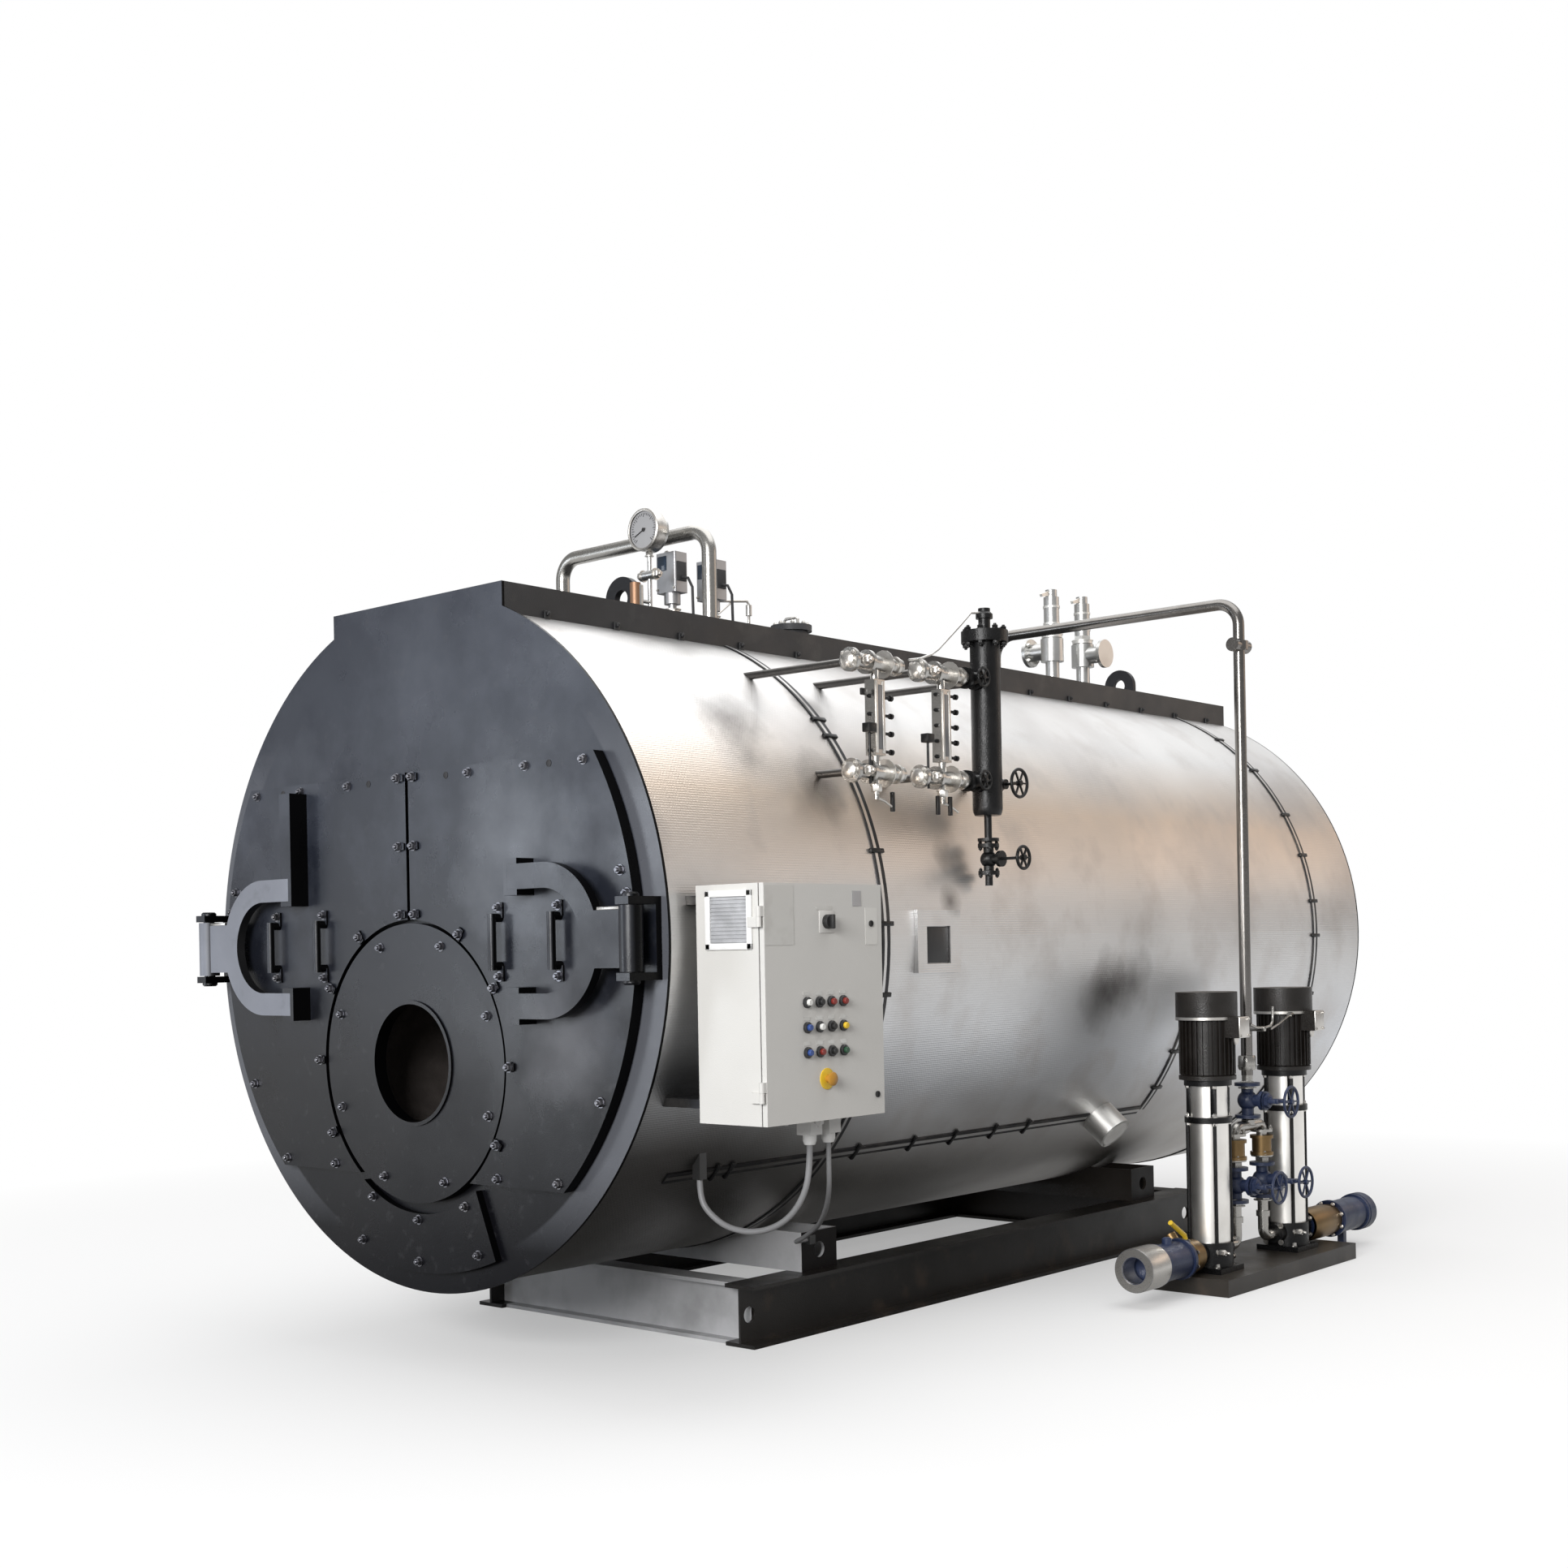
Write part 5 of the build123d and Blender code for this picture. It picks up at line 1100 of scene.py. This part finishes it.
CABLE_RADII = (11.0, 9.0)
SHELL_SOCKET = (1009.9, 430.0, -857.6)
SADDLE_SOCKET = (760.0, 1300.0, -1205.0)
CABLE_POINTS = (
    [
        (GLAND_X, GLANDS_Y[0], GLAND_END - 0.3), (GLAND_X, GLANDS_Y[0], -790), (1458, 476, -895),
        (1385, 464, -985), (1262, 452, -1032), (1134.9, 441, -1024.6), (1049.9, 434, -977.6),
        (SHELL_SOCKET[0], SHELL_SOCKET[1], -925), (SHELL_SOCKET[0], SHELL_SOCKET[1], SHELL_SOCKET[2] - 0.3),
    ],
    [
        (GLAND_X, GLANDS_Y[1], GLAND_END - 0.3), (GLAND_X, GLANDS_Y[1], -800), (1438, 634, -905),
        (1335, 730, -990), (1200, 854, -1060), (1050, 990, -1110), (905, 1118, -1160), (800, 1190, -1195),
        (SADDLE_SOCKET[0], 1240, SADDLE_SOCKET[2]),
        (SADDLE_SOCKET[0], SADDLE_SOCKET[1] - 0.3, SADDLE_SOCKET[2]),
    ],
)
CABLE_LENGTHS = (0.814, 1.260)


def cable(name, points, radius):
    """A hanging cable as one smooth spline."""
    data = bpy.data.curves.new(name, "CURVE")
    data.dimensions = "3D"
    data.resolution_u = 10
    data.bevel_depth = radius / 1000
    data.bevel_resolution = 5
    data.use_fill_caps = True
    spline = data.splines.new("NURBS")
    spline.points.add(len(points) - 1)
    for point, place in zip(spline.points, points):
        point.co = (*at(*place), 1)
    spline.order_u = 3
    spline.use_endpoint_u = True
    data.materials.append(finish["grey_rubber"])
    piece = bpy.data.objects.new(f"{name}_sleeve", data)
    bpy.context.scene.collection.objects.link(piece)
    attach(piece, "boiler")
    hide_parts(name)


for cable_name, cable_points, cable_radius, cable_length in zip(
        ("long_cable", "short_cable"), CABLE_POINTS, CABLE_RADII, CABLE_LENGTHS):
    cable(cable_name, cable_points, cable_radius)

# Floor, light and camera

FLOOR_HALF = 60.0


def stage_floor():
    """A pale floor that takes the shadow near the part and turns to plain white further off."""
    data = bpy.data.meshes.new("floor")
    half = FLOOR_HALF
    corners = [(-half, -half, 0), (half, -half, 0), (half, half, 0), (-half, half, 0)]
    data.from_pydata(corners, [], [(0, 1, 2, 3)])
    floor = bpy.data.objects.new("floor", data)
    floor.location = (0, 2, -0.0005)
    bpy.context.scene.collection.objects.link(floor)
    look = Finish("floor", (0.14, 0.135, 0.13), 0.0, 0.85)
    glow = look.add("ShaderNodeEmission", Strength=1.0)
    pale = look.add("ShaderNodeMix", data_type="RGBA")
    pale.inputs[6].default_value = (*look.color, 1)
    pale.inputs[7].default_value = (0.86, 0.86, 0.86, 1)
    dull = look.add("ShaderNodeMix", data_type="RGBA")
    look.link(pale.outputs[2], dull.inputs[6])
    dull.inputs[7].default_value = (0.055, 0.053, 0.05, 1)
    look.link(dull.outputs[2], look.shader.inputs["Base Color"])
    path = look.add("ShaderNodeLightPath")
    glossy = path.outputs["Is Glossy Ray"]
    seen = look.maths("MAXIMUM", path.outputs["Is Camera Ray"], path.outputs["Is Transmission Ray"])
    look.link(seen, pale.inputs["Factor"])
    look.link(glossy, dull.inputs["Factor"])
    away = look.stretch_range(look.reach((1, 1, 1), (0, 0, 0)), 2.4, 7.0, 0.35, 1.0)
    aside = look.reach((1.0, 0.42, 1.0), (0.0, 1.25, 0.0))
    mirrored = look.maths("MULTIPLY", look.stretch_range(aside, 1.2, 3.5, 0.05, 0.95), glossy)
    amount = look.maths("MULTIPLY_ADD", away, seen, mirrored)
    mix = look.add("ShaderNodeMixShader")
    look.link(amount, mix.inputs[0])
    look.link(look.shader.outputs[0], mix.inputs[1])
    look.link(glow.outputs[0], mix.inputs[2])
    look.link(mix.outputs[0], look.tree.nodes["Material Output"].inputs["Surface"])
    data.materials.append(look.material)


def white_world():
    """A soft white world at strength 0.42, full strength where the camera and glass see it."""
    world = bpy.data.worlds.new("studio")
    bpy.context.scene.world = world
    world.use_nodes = True
    tree = world.node_tree
    back = tree.nodes["Background"]
    back.inputs["Color"].default_value = (1, 1, 1, 1)
    path = tree.nodes.new("ShaderNodeLightPath")
    top = tree.nodes.new("ShaderNodeMath")
    top.operation = "MAXIMUM"
    tree.links.new(path.outputs["Is Camera Ray"], top.inputs[0])
    tree.links.new(path.outputs["Is Transmission Ray"], top.inputs[1])
    reach = tree.nodes.new("ShaderNodeMapRange")
    reach.inputs["To Min"].default_value = 0.42
    reach.inputs["To Max"].default_value = 1.0
    tree.links.new(top.outputs[0], reach.inputs["Value"])
    tree.links.new(reach.outputs["Result"], back.inputs["Strength"])


def lamp(name, place, target, size, power, tint=(1, 1, 1)):
    """A soft rectangular lamp that looks at a target."""
    data = bpy.data.lights.new(name, "AREA")
    data.shape = "RECTANGLE"
    data.size, data.size_y = size
    data.energy = power
    data.color = tint
    light = bpy.data.objects.new(name, data)
    light.location = place
    aim = Vector(target) - Vector(place)
    light.rotation_euler = aim.to_track_quat("-Z", "Y").to_euler()
    bpy.context.scene.collection.objects.link(light)


CAMERA_PLACE = (5693.9, -4475.5, -48.4)
CAMERA_YAW = 0.7171972
CAMERA_PITCH = 0.00025286
CAMERA_ROLL = -0.01893571
FOCAL_PIXELS = 2345.389
CENTRE_PIXEL = (962.718, 1170.390)
FRAME_PIXELS = 1932.0
SENSOR = 36.0


def photo_camera():
    """The camera at the photograph's place."""
    data = bpy.data.cameras.new("camera")
    data.sensor_width = SENSOR
    data.lens = FOCAL_PIXELS / FRAME_PIXELS * SENSOR
    data.shift_x = (FRAME_PIXELS / 2 - CENTRE_PIXEL[0]) / FRAME_PIXELS
    data.shift_y = (CENTRE_PIXEL[1] - FRAME_PIXELS / 2) / FRAME_PIXELS
    data.clip_end = 200
    ahead = Vector((-sin(CAMERA_YAW) * cos(CAMERA_PITCH),
                    cos(CAMERA_YAW) * cos(CAMERA_PITCH), sin(CAMERA_PITCH)))
    right = Vector((cos(CAMERA_YAW), sin(CAMERA_YAW), 0))
    up = right.cross(ahead)
    rolled_right = right * cos(CAMERA_ROLL) + up * sin(CAMERA_ROLL)
    rolled_up = up * cos(CAMERA_ROLL) - right * sin(CAMERA_ROLL)
    camera = bpy.data.objects.new("camera", data)
    turn = Matrix((rolled_right, rolled_up, -ahead)).transposed()
    camera.matrix_world = Matrix.Translation(at(*CAMERA_PLACE)) @ turn.to_4x4()
    bpy.context.scene.collection.objects.link(camera)
    bpy.context.scene.camera = camera


stage_floor()
white_world()
lamp("overhead", (0.5, 1.5, 7.0), (0.0, 1.5, 1.0), (6.0, 8.0), 330)
lamp("front_left", (-6.6, -8.8, 1.9), (0.5, -1.0, 1.7), (2.6, 4.8), 160, (0.84, 0.91, 1.0))
lamp("camera_side", (4.5, -10.5, 4.2), (1.0, 0.0, 1.0), (5.0, 3.5), 1250)
lamp("rear_top", (-3.6, 11.0, 9.8), (1.0, 2.0, 2.0), (15.5, 5.6), 350)
lamp("rear_warm", (7.0, 11.0, 5.0), (1.2, 2.0, 1.8), (8.0, 3.0), 80, (1.0, 0.76, 0.58))
photo_camera()

bpy.context.scene.view_settings.view_transform = "Standard"
